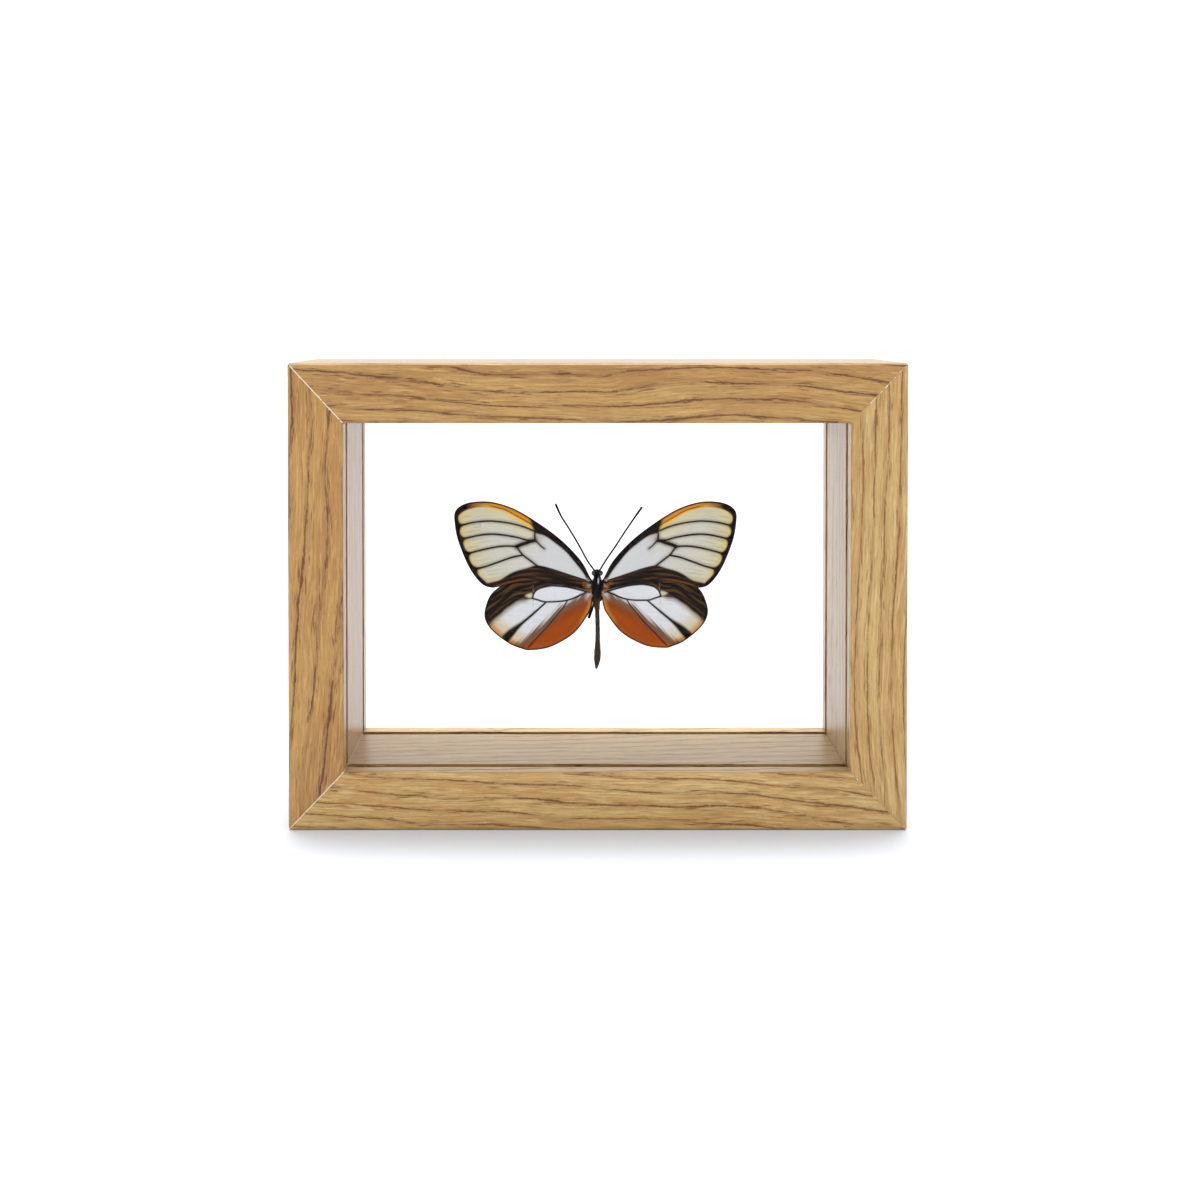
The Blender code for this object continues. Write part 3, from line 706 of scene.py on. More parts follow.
def forewing_paint(spots, outline):
    """Colour, clearness and height at each spot of the forewing."""
    a, v = spots.T
    edge = distance(spots, fine(outline, 260))
    outer = distance(spots, fine(outline[8:16], 90))
    costa = distance(spots, fine(outline[:10], 120))
    veins = {name: distance(spots, fine(points)) for name, points in FOREWING_VEINS.items()}
    wander = ripples(spots, 5.0, 1)

    strip = over(spots, ORANGE_EDGE)
    cream = smooth_step(8.0, 1.5, outer + 0.7 * wander) * (0.35 + 0.65 * smooth_step(3.0, 11.0, v))
    cream = np.maximum(cream, 0.75 * smooth_step(-5.0, -0.3, strip) * smooth_step(12.0, 18.0, a))
    paint = np.tile(linear("e8eaeb"), (len(spots), 1))
    lay(paint, "e4ddb4", 0.35 * smooth_step(13.0, 20.0, a + wander))
    lay(paint, "efe3a9", cream * 0.85)
    grain = streaks(spots, ALONG_CELLS, 1.3, 2)
    lay(paint, "a3987a", 0.30 * smooth_step(0.1, 0.9, grain) * smooth_step(10.0, 3.0, outer))

    # Smoke-brown dust beside the veins and bands, in the pale cells.
    nearest = np.min(list(veins.values()), axis=0)
    lay(paint, SMOKE, 0.4 * smooth_step(1.0, 0.2, nearest))
    smoky = smooth_step(2.6, 0.3, np.hypot(a - 14.2, (v - 12.9) * 1.1))
    lay(paint, "8a7c68", 0.35 * smoky)
    lay(paint, "4d3d2c", 0.6 * smooth_step(1.3, 0.3, veins["bar"]))

    # Warm rims at the outer ends of the cells.
    between = np.min([veins[name] for name in ("first", "second", "third", "fourth")], axis=0)
    cells = soft_min(outer - 0.95, between - 0.1, 1.7)
    near_end = smooth_step(3.4, 1.2, outer)
    lay(paint, "efd684", 0.85 * smooth_step(1.1, 0.25, cells) * near_end)
    hind = over(spots, HIND_BAND)
    lay(paint, "e0cf96", 0.6 * smooth_step(1.3, 0.5, hind) * smooth_step(20, 25, a))

    # The orange strip, yellow towards the cells, with a thin darker line along it.
    in_strip = smooth_step(-0.15, 0.15, strip) * smooth_step(14.0, 14.6, a)
    lay(paint, "f7cd64", in_strip)
    lay(paint, "ea9a26", in_strip * smooth_step(-0.1, 0.3, over(spots, STRIP_LINE)))
    strip_line = distance(spots, fine(STRIP_LINE))
    lay(paint, "a4560f", in_strip * smooth_step(0.26, 0.08, strip_line) * smooth_step(27.5, 25.0, a))
    lay(paint, "96571c", in_strip * smooth_step(25.0, 30.5, a) * 0.9)

    # The dark parts: bands, outer border and apex, with their soft borders.
    dark = np.max([
        smooth_step(0.35, -0.25, hind + 0.08 * wander),
        smooth_step(-0.3, 0.25, over(spots, COSTAL_BAND)) * smooth_step(15.9, 14.9, a - 0.3 * (v - 13.5)),
        smooth_step(0.3, -0.15, cells) * smooth_step(3.6, 2.6, outer),
        smooth_step(-0.2, 0.35, strip) * smooth_step(29.6, 32.0, a),
    ], axis=0)
    lay(paint, DARK, dark)
    trailing = over(spots, TRAILING_EDGE)
    grain = ripples(np.stack([0.14 * a, 2.6 * trailing], axis=1), 1.5, 3)
    lay(paint, "6a4420", 0.62 * dark * smooth_step(0.0, 0.9, grain) * smooth_step(0.0, -0.6, hind))
    glow = smooth_step(0.8, 0.15, trailing) * smooth_step(14.5, 18.5, a) * smooth_step(26.0, 23.0, a)
    lay(paint, "a05a1c", 0.8 * glow)
    root = smooth_step(6.0, 2.0, np.hypot(a, v - 1.0)) * smooth_step(0.2, -0.3, hind)
    lay(paint, "8a4c1c", 0.6 * root * smooth_step(0.0, 0.8, grain))

    # Veins and the thin black edge.
    lines = np.max([
        vein_lines(veins, {"bar": 0.36, "recurrent": 0.12, "first": 0.17}, 0.19),
        smooth_step(0.42, 0.2, costa) * smooth_step(1.5, 2.5, a),
        smooth_step(0.32, 0.14, edge),
    ], axis=0)
    lay(paint, DARK, lines)
    return paint, *clearness_and_relief(spots, [dark, lines, in_strip, 0.5 * smoky], nearest, 5)


# %% [markdown]
# ## The hindwing's pattern
#
# A whitish cell near the body, dark brown above and outside it, two whitish bands running out between
# dark rays, and the inner third orange, dusted brown where it begins.

# %% The hindwing's pattern
HINDWING_VEINS = {
    "cell_top": [(15.75, -2.3), (15.4, -1.15), (14.1, -0.1), (11.7, 0.5), (9.9, 0.5), (7.1, 0.2),
                 (4.25, -0.45), (3.0, -0.8), (1.8, -1.1)],
    "cell_bottom": [(1.8, -0.75), (2.6, -1.0), (7.2, -2.95), (12.4, -3.4), (14.4, -2.95), (16.0, -2.5)],
    "ray_a": [(12.4, -3.4), (14.6, -5.4), (16.6, -7.15), (19.4, -9.6), (22.2, -12.3)],
    "ray_b": [(7.2, -2.95), (8.4, -4.8), (9.6, -6.3), (11.4, -8.6), (13.8, -11.2), (16.9, -14.6)],
}
DARK_EDGE = [(3.0, -0.6), (7.1, 0.3), (9.9, 0.62), (11.7, 0.62), (14.1, 0.0), (15.5, -1.2), (16.0, -2.5),
             (19.2, -3.1), (22.1, -5.0), (25.5, -7.9), (27.4, -10.2)]
ORANGE_EDGE_HIND = [(0.9, -0.2), (2.0, -1.4), (3.2, -2.6), (6.0, -4.5), (8.35, -5.6), (9.9, -7.0),
                    (12.1, -9.1), (15.9, -12.4), (19.0, -15.3)]
BESIDE_BODY = [(1.5, -1.6), (1.4, -4.2), (2.2, -6.4), (3.4, -8.4)]
ALONG_RAYS = ((0.64, -0.77), (0.16, 2.2))


def hindwing_paint(spots, outline):
    """Colour, clearness and height at each spot of the hindwing."""
    a, v = spots.T
    edge = distance(spots, fine(outline, 260))
    veins = {name: distance(spots, fine(points)) for name, points in HINDWING_VEINS.items()}
    wander = ripples(spots, 4.0, 11)
    paint = np.tile(linear("f4f8fd"), (len(spots), 1))
    lay(paint, "eadfb6", 0.85 * smooth_step(5.5, 2.0, edge) * smooth_step(15.0, 19.0, a))
    lay(paint, "e8a03a", 0.9 * smooth_step(2.0, 0.7, edge) * smooth_step(15.0, 18.0, a))

    # Orange, dusted brown along its border, lighter beside the body.
    orange_side = over(spots, ORANGE_EDGE_HIND)
    grain = streaks(spots, ALONG_RAYS, 1.5, 12)
    dusted = smooth_step(2.0, 0.5, orange_side + 0.4 * grain) * smooth_step(1.5, 3.5, a)
    lay(paint, "774a18", 0.95 * dusted)
    orange = smooth_step(0.2, -1.2, orange_side + 0.2 * wander)
    lay(paint, "b04c00", orange)
    shaded = smooth_step(-3.2, -0.2, orange_side) * smooth_step(13.0, 6.0, a)
    lay(paint, "7f4217", 0.7 * orange * shaded)
    lay(paint, "7b3203", 0.45 * orange * smooth_step(0.0, 0.9, grain))
    lay(paint, "c85f0a", 0.6 * orange * smooth_step(1.6, 0.4, edge))
    by_body = distance(spots, fine(BESIDE_BODY))
    lay(paint, "d68a28", 0.85 * orange * smooth_step(1.5, 0.2, by_body))

    # The dark outer part with lighter streaks, and the cream patch at the end of the cell.
    outside = over(spots, DARK_EDGE)
    dark = smooth_step(-0.45, 0.3, outside + 0.06 * wander)
    lay(paint, "8a6c48", 0.75 * smooth_step(-1.5, 0.1, outside) * smooth_step(15.8, 18.0, a))
    lay(paint, DARK, dark)
    grain = ripples(np.stack([0.13 * a, 1.9 * outside], axis=1), 1.5, 13)
    lay(paint, "67481f", 0.7 * dark * smooth_step(0.0, 0.9, grain) * smooth_step(9, 15, a))
    patch = np.hypot((a - 16.4) / 1.25, (v + 1.9) / (0.65 - 0.22 * (a - 16.4)).clip(0.25, 0.8))
    lay(paint, "ddd6bb", 0.95 * smooth_step(1.3, 0.4, patch) * smooth_step(15.5, 16.0, a))

    # Rays: the first widens into a dark wedge at the margin, the second fades into the orange.
    wedge = veins["ray_a"] - 0.12 - 0.85 * smooth_step(16.0, 22.5, a) ** 1.6
    lay(paint, BROWN, 0.8 * smooth_step(0.55, -0.15, wedge) * smooth_step(13.0, 16.5, a))
    lay(paint, DARK, smooth_step(0.2, -0.3, wedge) * smooth_step(12.0, 14.0, a))

    lines = np.maximum(vein_lines(veins, {"ray_b": 0.10}, 0.17), smooth_step(0.5, 0.22, edge))
    lay(paint, DARK, lines)
    coloured = [dark, lines, orange, 0.5 * dusted, smooth_step(0.5, -0.2, wedge)]
    return paint, *clearness_and_relief(spots, coloured, np.min(list(veins.values()), axis=0), 14)


# %% [markdown]
# ## The wing's film
#
# The wing is a grid laid between the two halves of its outline, which meet at the tip. Its colours and
# its clearness are kept on the points as attributes, with a second pair of coordinates in millimetres
# along and across the wing, so that the fine rows of scales can follow it. Solidify gives the film its
# thickness. The scales are half matt with a soft sheen, like velvet.

# %% The wing's film
ALONG, ACROSS = 230, 120
ROW_LENGTH, ROW_WIDTH = 34, 20
FILM, MERGE = 0.08 * MM, 0.002 * MM


def scaled_film():
    """Wing scales on a clear film: the painted colour, broken up by rows of scales 0.15 mm apart,
    which is coarser than the real 0.05 mm, so that they show."""
    made, shader = new_material("butterfly_wing_scales", Roughness=0.62, Sheen_Weight=0.03,
                                Sheen_Roughness=0.4, Specular_IOR_Level=0.1)
    tree = made.node_tree
    colour = add(tree, "Attribute", attribute_name="scale_colour")
    solid = add(tree, "Attribute", out=2, attribute_name="solid")
    rows = add(tree, "Attribute", out=1, attribute_name="rows")
    stretched = add(tree, "Mapping", {"Vector": rows, "Scale": (0.35, 3.4, 1.0)})
    streak = add(tree, "TexNoise", {"Vector": stretched, "Scale": 1.0, "Detail": 3.0})
    dust_place = add(tree, "Mapping", {"Vector": rows, "Scale": (5.0, 6.5, 1.0)})
    dust = add(tree, "TexNoise", {"Vector": dust_place, "Scale": 1.0, "Detail": 1.0})
    mixed = add(tree, "Math", {0: streak, 1: dust}, operation="ADD")
    value = add(tree, "MapRange", {0: mixed, 1: 0.6, 2: 1.4, 3: 0.88, 4: 1.12})
    shade = add(tree, "VectorMath", {0: colour, "Scale": value}, operation="SCALE")
    bump = add(tree, "Bump", {"Height": mixed, "Strength": 0.25, "Distance": 0.05 * MM})
    feed(shader, Base_Color=shade, Alpha=solid, Normal=bump)
    return made


def wing(name, outline, tip, painter, side, behind, lift, made):
    """A wing's film: grid between the halves of the outline, painted, placed and given its thickness."""
    s, t = np.meshgrid(np.linspace(0, 1, ALONG), np.linspace(0, 1, ACROSS), indexing="ij")
    upper = smooth_curve(outline, s[:, 0] * tip)[:, None, :]
    lower = smooth_curve(outline, 1 - s[:, 0] * (1 - tip))[:, None, :]
    flat = (upper + (lower - upper) * t[..., None]).reshape(-1, 2)
    paint, solid, relief = painter(flat, outline)
    index = np.arange(ALONG * ACROSS).reshape(ALONG, ACROSS)
    quads = np.stack([index[:-1, :-1], index[1:, :-1], index[1:, 1:], index[:-1, 1:]], -1).reshape(-1, 4)
    mesh = bpy.data.meshes.new(name)
    mesh.from_pydata(in_place(flat, side, behind, lift, relief).tolist(), [], quads.tolist())
    shades = mesh.attributes.new("scale_colour", "FLOAT_COLOR", "POINT")
    shades.data.foreach_set("color", np.column_stack([paint, np.ones(len(paint))]).ravel())
    mesh.attributes.new("solid", "FLOAT", "POINT").data.foreach_set("value", solid)
    rows = [s.ravel() * ROW_LENGTH, t.ravel() * ROW_WIDTH, np.full(s.size, 7.0 * side + behind)]
    rows = np.stack(rows, axis=1)
    mesh.attributes.new("rows", "FLOAT_VECTOR", "POINT").data.foreach_set("vector", rows.ravel())
    thing = finish_piece(f"{name}_film", mesh, made, name, merge=MERGE)
    shell = thing.modifiers.new("film", "SOLIDIFY")
    shell.thickness = FILM
    shell.offset = 0.0


scales = scaled_film()
WINGS = [
    ("forewing_left", FOREWING_OUTLINE, FOREWING_TIP, forewing_paint, -1, 0.0, 0.0),
    ("forewing_right", FOREWING_OUTLINE, FOREWING_TIP, forewing_paint, 1, 0.0, 0.0),
    ("hindwing_left", HINDWING_OUTLINE, HINDWING_TIP, hindwing_paint, -1, FOREWING_OVER_HINDWING, 0.0),
    ("hindwing_right", HINDWING_OUTLINE, HINDWING_TIP, hindwing_paint, 1, FOREWING_OVER_HINDWING,
     RIGHT_HINDWING_LIFT),
]
for choices in WINGS:
    wing(*choices, scales)

# %% [markdown]
# ## Veins
#
# The veins are hollow tubes that held the wing flat when it dried. They stand out a little on both
# sides, thick at the root and thin at the margin. Each is a tube along the same curve that the paint
# uses. On the forewing one more runs along the leading edge, and one along the dark trailing band.

# %% Veins
VEIN_SIDES, VEIN_ROOT, VEIN_MARGIN, VEIN_FORWARD = 8, 0.15, 0.09, 0.06


def chitin(name, hex_colour, roughness, gloss=0.2):
    """Dried insect skin: hard, thin and half glossy, with fine uneven tone."""
    made, shader = new_material(name, Roughness=roughness, Specular_IOR_Level=gloss)
    tree = made.node_tree
    place = add(tree, "TexCoord", out=3)
    noise = add(tree, "TexNoise", {"Vector": place, "Scale": 3.0 / MM, "Detail": 3.0})
    value = add(tree, "MapRange", {0: noise, 1: 0.3, 2: 0.7, 3: 0.6, 4: 1.5})
    shade = add(tree, "VectorMath", {0: tuple(linear(hex_colour)), "Scale": value},
                operation="SCALE")
    bump = add(tree, "Bump", {"Height": noise, "Strength": 0.3, "Distance": 0.05 * MM})
    feed(shader, Base_Color=shade, Normal=bump)
    return made


def vein_tubes(veins, side, behind, lift):
    """Every vein of one wing as a tapering tube, a touch in front of the film's middle."""
    shells = []
    for points in veins:
        line = fine(points, 48)
        out = np.linalg.norm(line, axis=1)
        radius = np.interp(out, [2, 33], [VEIN_ROOT, VEIN_MARGIN]) * MM
        radius[[0, -1]] *= 0.3
        path = in_place(line, side, behind, lift, VEIN_FORWARD)
        shells.append(closed_shell(tube_rings(path, radius, VEIN_SIDES)))
    return gather(shells)


vein_skin = chitin("dried_wing_vein", "20130c", 0.5, 0.1)
LEADING_EDGE = FOREWING_OUTLINE[:11]
BAND_VEIN = [(15.0, 5.6), (11.5, 4.85), (7.4, 3.5), (2.6, 1.95), (1.4, 1.5)]
for name, _, _, _, *placing in WINGS:
    veins = list(HINDWING_VEINS.values())
    if name.startswith("forewing"):
        veins = [*FOREWING_VEINS.values(), LEADING_EDGE, BAND_VEIN]
    piece(f"{name}_veins", vein_tubes(veins, *placing), vein_skin)

# %% [markdown]
# ## The body
#
# Head, thorax and abdomen are one dried skin. The head carries two round eyes and short feelers for
# tasting, the thorax is a furred egg, and the abdomen is long, thin and ringed, thickest near its end.
# One surface of rings runs from the crown to the tail: the half-width and a slight bend follow a list of
# places chosen from the photograph, and small dips make the segments.

# %% The body
# Down the body: the height, the half-width, and how far the middle bends to the right.
BODY_PROFILE = [
    (4.65, 0.05, -0.05), (4.4, 0.55, -0.05), (3.9, 0.85, -0.05), (3.3, 0.88, -0.05), (2.8, 0.8, -0.03),
    (2.4, 0.88, 0.0), (2.0, 1.12, 0.0), (1.2, 1.38, 0.0), (0.2, 1.40, -0.1), (-0.8, 1.28, -0.18),
    (-1.8, 1.08, -0.2), (-2.8, 0.88, -0.18), (-3.9, 0.76, -0.2), (-4.8, 0.60, -0.1), (-5.8, 0.57, 0.0),
    (-9.0, 0.57, 0.1), (-12.5, 0.60, 0.12), (-14.4, 0.74, 0.1), (-16.2, 0.86, 0.06), (-17.6, 0.80, 0.0),
    (-18.7, 0.56, -0.08), (-19.5, 0.3, -0.18), (-19.95, 0.04, -0.24),
]
SEGMENTS, SEGMENT_TOP, SEGMENT_BOTTOM = 9, -3.0, -19.0


def body_point(out, back, up):
    """Places given in millimetres from the body's middle, as rows of points in the frame."""
    return np.stack(np.broadcast_arrays(out, back, up), axis=-1) * MM + np.array(MIDDLE)


def body_rings(steps=260, around=36):
    """Rings down the body: width = profile · (1 - a small dip at each segment), depth a little more."""
    line = smooth_curve(BODY_PROFILE, np.linspace(0, 1, steps))
    up, half, sway = line[:, 0], np.maximum(line[:, 1], 0.02), line[:, 2]
    share = np.clip((SEGMENT_TOP - up) / (SEGMENT_TOP - SEGMENT_BOTTOM), 0, 1)
    inside = (up < SEGMENT_TOP) & (up > SEGMENT_BOTTOM)
    dip = 0.10 * inside * np.exp(-((np.mod(share * SEGMENTS, 1) - 0.5) / 0.1) ** 2)
    turn = np.linspace(0, 2 * np.pi, around, endpoint=False)
    deeper = np.interp(up, [-19, -4, -2, 2.3, 3], [1.55, 1.55, 1.2, 1.18, 1.05])
    lumps = 1 + 0.03 * np.sin(5 * turn[None] + 3 * up[:, None])
    wide = (half * (1 - dip))[:, None] * lumps
    return body_point(np.cos(turn) * wide + sway[:, None], np.sin(turn) * wide * deeper[:, None], up[:, None])


def ball_rings(centre, radii, steps=18, around=24):
    """A ball, stretched: rings from pole to pole, stacked upwards."""
    rise = np.linspace(0.06, np.pi - 0.06, steps)[:, None]
    turn = np.linspace(0, 2 * np.pi, around, endpoint=False)
    out = centre[0] + radii[0] * np.sin(rise) * np.cos(turn)
    back = centre[1] + radii[1] * np.sin(rise) * np.sin(turn)
    return body_point(out, back, centre[2] + radii[2] * np.cos(rise) + 0 * turn)


# The painted highlight, a pale line down the thorax, and the warm spot near the tail: out, back and up.
THORAX_HIGHLIGHT, SPOT = (0.25, -1.6, 1.95), (-0.5, -0.4, -15.6)


def furred_skin():
    """Black-brown skin under fine scales: darker on the thorax with a painted highlight, a pale line, down
    its front, lighter on the abdomen, with an orange-brown spot low on its left side."""
    made, shader = new_material("dried_body_skin_with_scales", Roughness=0.45, Specular_IOR_Level=0.12)
    tree = made.node_tree
    place = add(tree, "TexCoord", out=3)
    height = add(tree, "SeparateXYZ", {0: place}, out=2)
    low = add(tree, "MapRange", {0: height, 1: MIDDLE.z - 1.5 * MM, 2: MIDDLE.z - 4.0 * MM})
    noise = add(tree, "TexNoise", {"Vector": place, "Scale": 2.2 / MM, "Detail": 4.0})
    tone = add(tree, "Mix", {0: low, 6: rgba("0d0806"), 7: rgba("3c2f26")}, out=2, data_type="RGBA")
    value = add(tree, "MapRange", {0: noise, 1: 0.3, 2: 0.7, 3: 0.55, 4: 1.5})
    tone = add(tree, "VectorMath", {0: tone, "Scale": value}, operation="SCALE")
    off_line = add(tree, "VectorMath", {0: place, 1: MIDDLE + Vector(THORAX_HIGHLIGHT) * MM}, operation="SUBTRACT")
    off_line = add(tree, "VectorMath", {0: off_line, 1: (1, 0, 0.26)}, operation="MULTIPLY")
    off_line = add(tree, "VectorMath", {0: off_line}, out=1, operation="LENGTH")
    # A painted highlight: a pale line down the front of the thorax.
    painted_highlight_line = add(tree, "MapRange", {0: off_line, 1: 0.24 * MM, 2: 0.10 * MM})
    tone = add(tree, "Mix", {0: painted_highlight_line, 6: tone, 7: rgba("cfd1d6")}, out=2, data_type="RGBA")
    spot = add(tree, "VectorMath", {0: place, 1: MIDDLE + Vector(SPOT) * MM}, out=1, operation="DISTANCE")
    spot = add(tree, "MapRange", {0: spot, 1: 0.9 * MM, 2: 0.3 * MM, 4: 0.8})
    tone = add(tree, "Mix", {0: spot, 6: tone, 7: rgba("8a4f1e")}, out=2, data_type="RGBA")
    bump = add(tree, "Bump", {"Height": noise, "Strength": 0.5, "Distance": 0.08 * MM})
    feed(shader, Base_Color=tone, Normal=bump)
    return made


PALP_RADII = np.array([5, 14, 18, 20, 20, 20, 19, 18, 16, 14, 12, 9, 6, 2]) / 100
EYE_PLACE, EYE_RADII = (0.84, -0.3, 3.72), (0.6, 0.62, 0.66)
shells = [closed_shell(body_rings())]
for side in (-1, 1):
    palp = smooth_curve([(0.28 * side, -0.5, 3.9), (0.32 * side, -1.1, 4.3), (0.3 * side, -1.3, 4.9)],
                        np.linspace(0, 1, len(PALP_RADII)))
    shells.append(closed_shell(tube_rings(body_point(*palp.T), PALP_RADII * MM, 12, (1, 0, 0))))
piece("furred_body", gather(shells), furred_skin(), "body")

eye_skin, eye_shader = new_material("dried_faceted_eye", Base_Color=rgba("2a1c14"), Roughness=0.22,
                                   IOR=1.56, Coat_Weight=0.4)
eye_tree = eye_skin.node_tree
place = add(eye_tree, "TexCoord", out=3)
facets = add(eye_tree, "TexVoronoi", {"Vector": place, "Scale": 9.0 / MM})
bump = add(eye_tree, "Bump", {"Height": facets, "Strength": 0.3, "Distance": 0.03 * MM})
feed(eye_shader, Normal=bump, Base_Color=add(eye_tree, "Mix", {
    0: facets, 6: rgba("4a3628"), 7: rgba("120c09")}, out=2, data_type="RGBA"))
eyes = [closed_shell(ball_rings(EYE_PLACE * np.array([side, 1, 1]), EYE_RADII)) for side in (-1, 1)]
piece("eyes", gather(eyes), eye_skin)

# %% [markdown]
# ## Legs
#
# The legs dried folded against the underside. Only the tip of one hind leg shows from the front, beside
# the abdomen. Each is a thin tube that swells a little at its joints.

# %% Legs
LEGS = [
    [(-0.6, 0.7, 1.0), (-1.3, 1.9, 0.2), (-1.1, 2.1, -2.2), (-0.7, 2.1, -4.0)],
    [(0.6, 0.7, 1.0), (1.3, 1.9, 0.2), (1.0, 2.1, -2.0), (0.8, 2.1, -3.6)],
    [(-0.4, 0.8, -1.2), (-0.65, 0.8, -2.6), (-0.85, 0.3, -3.9), (-2.1, -0.5, -7.35)],
    [(0.3, 0.8, -0.9), (0.5, 1.7, -2.6), (0.4, 1.6, -4.5), (0.1, 1.4, -7.5)],
]
LEG_RADIUS = 0.33
share = np.linspace(0, 1, 40)
swell = 1 + 0.25 * np.exp(-((share - 0.33) / 0.04) ** 2) + 0.2 * np.exp(-((share - 0.66) / 0.04) ** 2)
radius = LEG_RADIUS * swell * np.interp(share, [0, 0.6, 0.98, 1], [0.9, 0.9, 1.1, 0.5]) * MM
shells = []
for route in LEGS:
    path = smooth_curve(route, share)
    shells.append(closed_shell(tube_rings(body_point(*path.T), radius, 10, (1, 0.2, 0))))
piece("folded_legs", gather(shells), chitin("dried_leg_skin", "09090c", 0.4, 0.1))

# %% [markdown]
# ## Feelers
#
# Two black threads with about forty short joints each, thickening a little towards the tip. They rise
# from between the eyes, and lean slightly forwards.

# %% Feelers
FEELERS = {
    "antenna_left": (-1, [(0.35, 4.1), (0.95, 4.75), (2.4, 6.8), (4.0, 9.8), (5.6, 12.6), (7.1, 15.1),
                          (8.8, 17.8), (10.2, 20.9)]),
    "antenna_right": (1, [(0.35, 4.1), (0.8, 4.75), (2.2, 7.1), (4.3, 10.2), (6.8, 14.1), (9.0, 17.4),
                          (10.9, 20.1)]),
}
FEELER_FORWARD, FEELER_RADIUS, CLUB_RADIUS, FEELER_JOINTS = 1.4, 0.23, 0.29, 40
thread = chitin("dried_feeler", "0c0a09", 0.5, 0.05)
share = np.linspace(0, 1, 6 * FEELER_JOINTS + 1)
club = smooth_step(0.8, 0.94, share)
joints = 1 - 0.16 * np.cos(2 * np.pi * share * FEELER_JOINTS) ** 8
radius = (FEELER_RADIUS + (CLUB_RADIUS - FEELER_RADIUS) * club) * joints
radius = np.maximum(radius * smooth_step(1.012, 0.985, share) * MM, 0.01 * MM)
for name, (side, route) in FEELERS.items():
    line = smooth_curve(route, share)
    path = body_point(side * line[:, 0], -WINGS_IN_FRONT - FEELER_FORWARD * share, line[:, 1])
    piece(f"{name}_thread", closed_shell(tube_rings(path, radius, 12)), thread, name)

# %% [markdown]
# ## Fur
#
# Fine hairs cover the thorax and head, and pale orange tufts stand at the roots of the wings. Each hair
# is a thin three-sided blade that tapers to a point, bent a little outwards. All hairs of a kind are one
# joined mesh, worked out as arrays.

# %% Fur
def hairs(roots, directions, length, width, seed):
    """Blades in rows of three rings and a tip: ring centre = root + direction · share · length + bend ·
    share², and its three corners stand round it at a width that shrinks to nothing."""
    draw = np.random.default_rng(seed)
    count = len(roots)
    length = length * draw.uniform(0.6, 1.25, count)[:, None]
    directions = directions / np.linalg.norm(directions, axis=1)[:, None]
    side = np.cross(directions, draw.normal(size=(count, 3)))
    side /= np.linalg.norm(side, axis=1)[:, None]
    other = np.cross(directions, side)
    bend = draw.normal(size=(count, 3)) * 0.22
    rings = []
    for share in (0.0, 0.4, 0.75):
        middle = roots + (directions * share + bend * share ** 2) * length
        for corner in np.radians((0, 120, 240)):
            aside = np.cos(corner) * side + np.sin(corner) * other
            rings.append(middle + aside * width * (1 - 0.8 * share))
    tip = roots + (directions + bend) * length
    points = np.stack(rings + [tip], axis=1).reshape(-1, 3)
    one = [[0, 2, 1]]
    for ring in (0, 3):
        one += [[ring + k, ring + (k + 1) % 3, ring + 3 + (k + 1) % 3, ring + 3 + k] for k in range(3)]
    one += [[6 + k, 6 + (k + 1) % 3, 9] for k in range(3)]
    faces = [[corner + 10 * i for corner in face] for i in range(count) for face in one]
    return points, faces


def on_thorax(count, seed, low, high):
    """Random places on the thorax and head between two heights, with the direction outwards. The front
    stays bare at the pale line of painted highlight."""
    draw = np.random.default_rng(seed)
    turn, up = draw.uniform(0, 2 * np.pi, count), draw.uniform(low, high, count)
    profile = np.array(BODY_PROFILE)[::-1]
    half = np.interp(up, profile[:, 0], profile[:, 1])
    out = np.stack([np.cos(turn), 1.18 * np.sin(turn), np.zeros(count)], axis=1)
    bare = (np.abs(out[:, 0] * half - THORAX_HIGHLIGHT[0]) < 0.3) & (out[:, 1] < 0) & (np.abs(up - THORAX_HIGHLIGHT[2]) < 0.9)
    out, half, up = out[~bare], half[~bare], up[~bare]
    return body_point(*(out * half[:, None] * 0.97 + [0, 0, 1] * up[:, None]).T), out


HAIR_COUNT, HAIR_LENGTH, HAIR_WIDTH = 900, 0.55 * MM, 0.018 * MM
TUFT_LENGTH, TUFT_WIDTH = 0.8 * MM, 0.035 * MM
roots, outwards = on_thorax(HAIR_COUNT, 21, -2.4, 4.2)
lean_down = outwards + np.array([0, 0, -1.1])
piece("thorax_fur", hairs(roots, lean_down, HAIR_LENGTH, HAIR_WIDTH, 22),
      chitin("dark_body_hair", "0e0906", 0.7, 0.0), smooth=False)

# Each tuft: place (out, up), the height of its lean, how far it spreads and how many hairs it has.
PALE_TUFTS = [((2.0, 2.0), 0.3, 0.18, 22), ((1.8, 0.9), -0.9, 0.22, 26), ((1.15, -1.5), -0.8, 0.10, 14)]
ORANGE_TUFTS = [((2.2, 0.7), -0.5, 0.34, 60), ((1.7, -0.3), -1.3, 0.26, 40), ((3.0, 1.2), 0.2, 0.30, 26)]
draw = np.random.default_rng(23)
for name, tufts, tone in (("pale", PALE_TUFTS, "c9b8a4"), ("orange", ORANGE_TUFTS, "b9722c")):
    roots, ways = [], []
    for side in (-1, 1):
        for (out, up), lean, spread, count in tufts:
            wide = draw.normal(size=(count, 3)) * [spread, 0.1, spread]
            roots.append(body_point(*(np.array([side * out, -0.75, up]) + wide).T))
            ways.append(np.array([side * 0.8, -0.3, lean]) + draw.normal(size=(count, 3)) * 0.4)
    tuft = hairs(np.vstack(roots), np.vstack(ways), TUFT_LENGTH, TUFT_WIDTH, 24)
    piece(f"wing_root_tufts_{name}", tuft, chitin(f"{name}_body_hair", tone, 0.55),
          smooth=False)
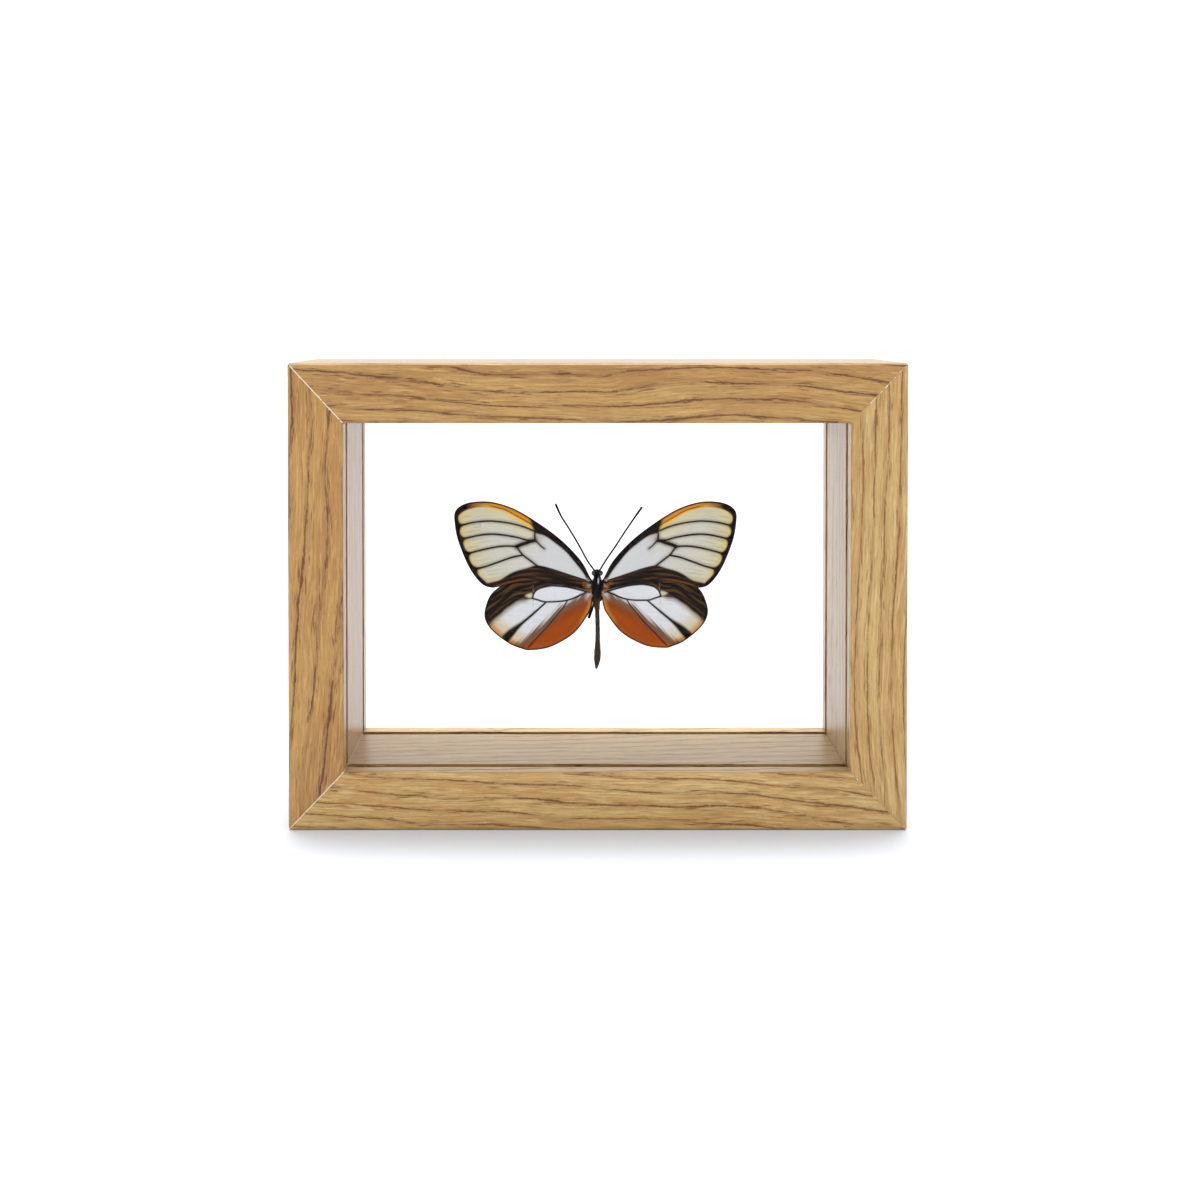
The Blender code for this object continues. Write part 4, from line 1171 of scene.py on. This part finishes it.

# %% [markdown]
# ## Glue and a painted highlight on the insect
#
# A small milky drop on the left forewing is a painted highlight, the bright ring on the wing, and a dab
# of glue behind the thorax holds the insect to the rear pane. Both use the same hard, milky material.

# %% Glue and a painted highlight on the insect
DROP_PLACE, DROP_RADIUS, DROP_HEIGHT = (28.0, 15.39), 0.64, 0.42
glue_and_highlight, glue_and_highlight_shader = new_material("milky_glue_and_painted_highlight", Base_Color=rgba("fffaf8"), Roughness=0.06,
                                      IOR=1.48, Transmission_Weight=0.15)
glue_and_highlight_tree = glue_and_highlight.node_tree
place = add(glue_and_highlight_tree, "TexCoord", out=3)
cloud = add(glue_and_highlight_tree, "TexNoise", {"Vector": place, "Scale": 1.5 / MM, "Detail": 2.0})
feed(glue_and_highlight_shader, Roughness=add(glue_and_highlight_tree, "MapRange", {0: cloud, 3: 0.04, 4: 0.16}))


def turned_rings(profile, centre, around=32):
    """A profile of (radius, depth towards the back), turned about the Y direction through a centre."""
    turn = np.linspace(0, 2 * np.pi, around, endpoint=False)
    radius, depth = np.array(profile).T
    return np.stack(np.broadcast_arrays(
        centre[0] + radius[:, None] * np.cos(turn), centre[1] + depth[:, None],
        centre[2] + radius[:, None] * np.sin(turn)), axis=-1)


dab_low, dab_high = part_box("glue_dab")
rise = np.linspace(0, 1, 20)
dab_radius = (dab_high.x - dab_low.x) / 2 * (0.80 + 0.2 * rise ** 2) * smooth_step(-0.12, 0.1, rise)
dab_profile = np.stack([dab_radius, (rise - 0.5) * (dab_high.y - dab_low.y)], axis=1)
dab = closed_shell(turned_rings(dab_profile, (dab_low + dab_high) / 2))
piece("clear_glue_dab", dab, glue_and_highlight, "glue_dab")

# A painted highlight: a small milky drop on the left forewing.
drop_middle = in_place(np.array([DROP_PLACE]), -1, 0.0, 0.0, 0.04)[0]
arc = np.linspace(0.06, np.pi / 2, 12)
drop_profile = [(DROP_RADIUS * math.sin(a) * MM, -DROP_HEIGHT * math.cos(a) * MM) for a in arc]
drop_profile.append((DROP_RADIUS * 0.9 * MM, 0.02 * MM))
drop = closed_shell(turned_rings(drop_profile, drop_middle))
piece("painted_highlight_drop_on_wing", drop, glue_and_highlight)

# %% [markdown]
# ## Size
#
# The imported model's box is written down. The finished piece has to fit the imported model's box.

# %% Size
print("packed box, mm:", [round(side / MM, 2) for side in cad_high - cad_low])
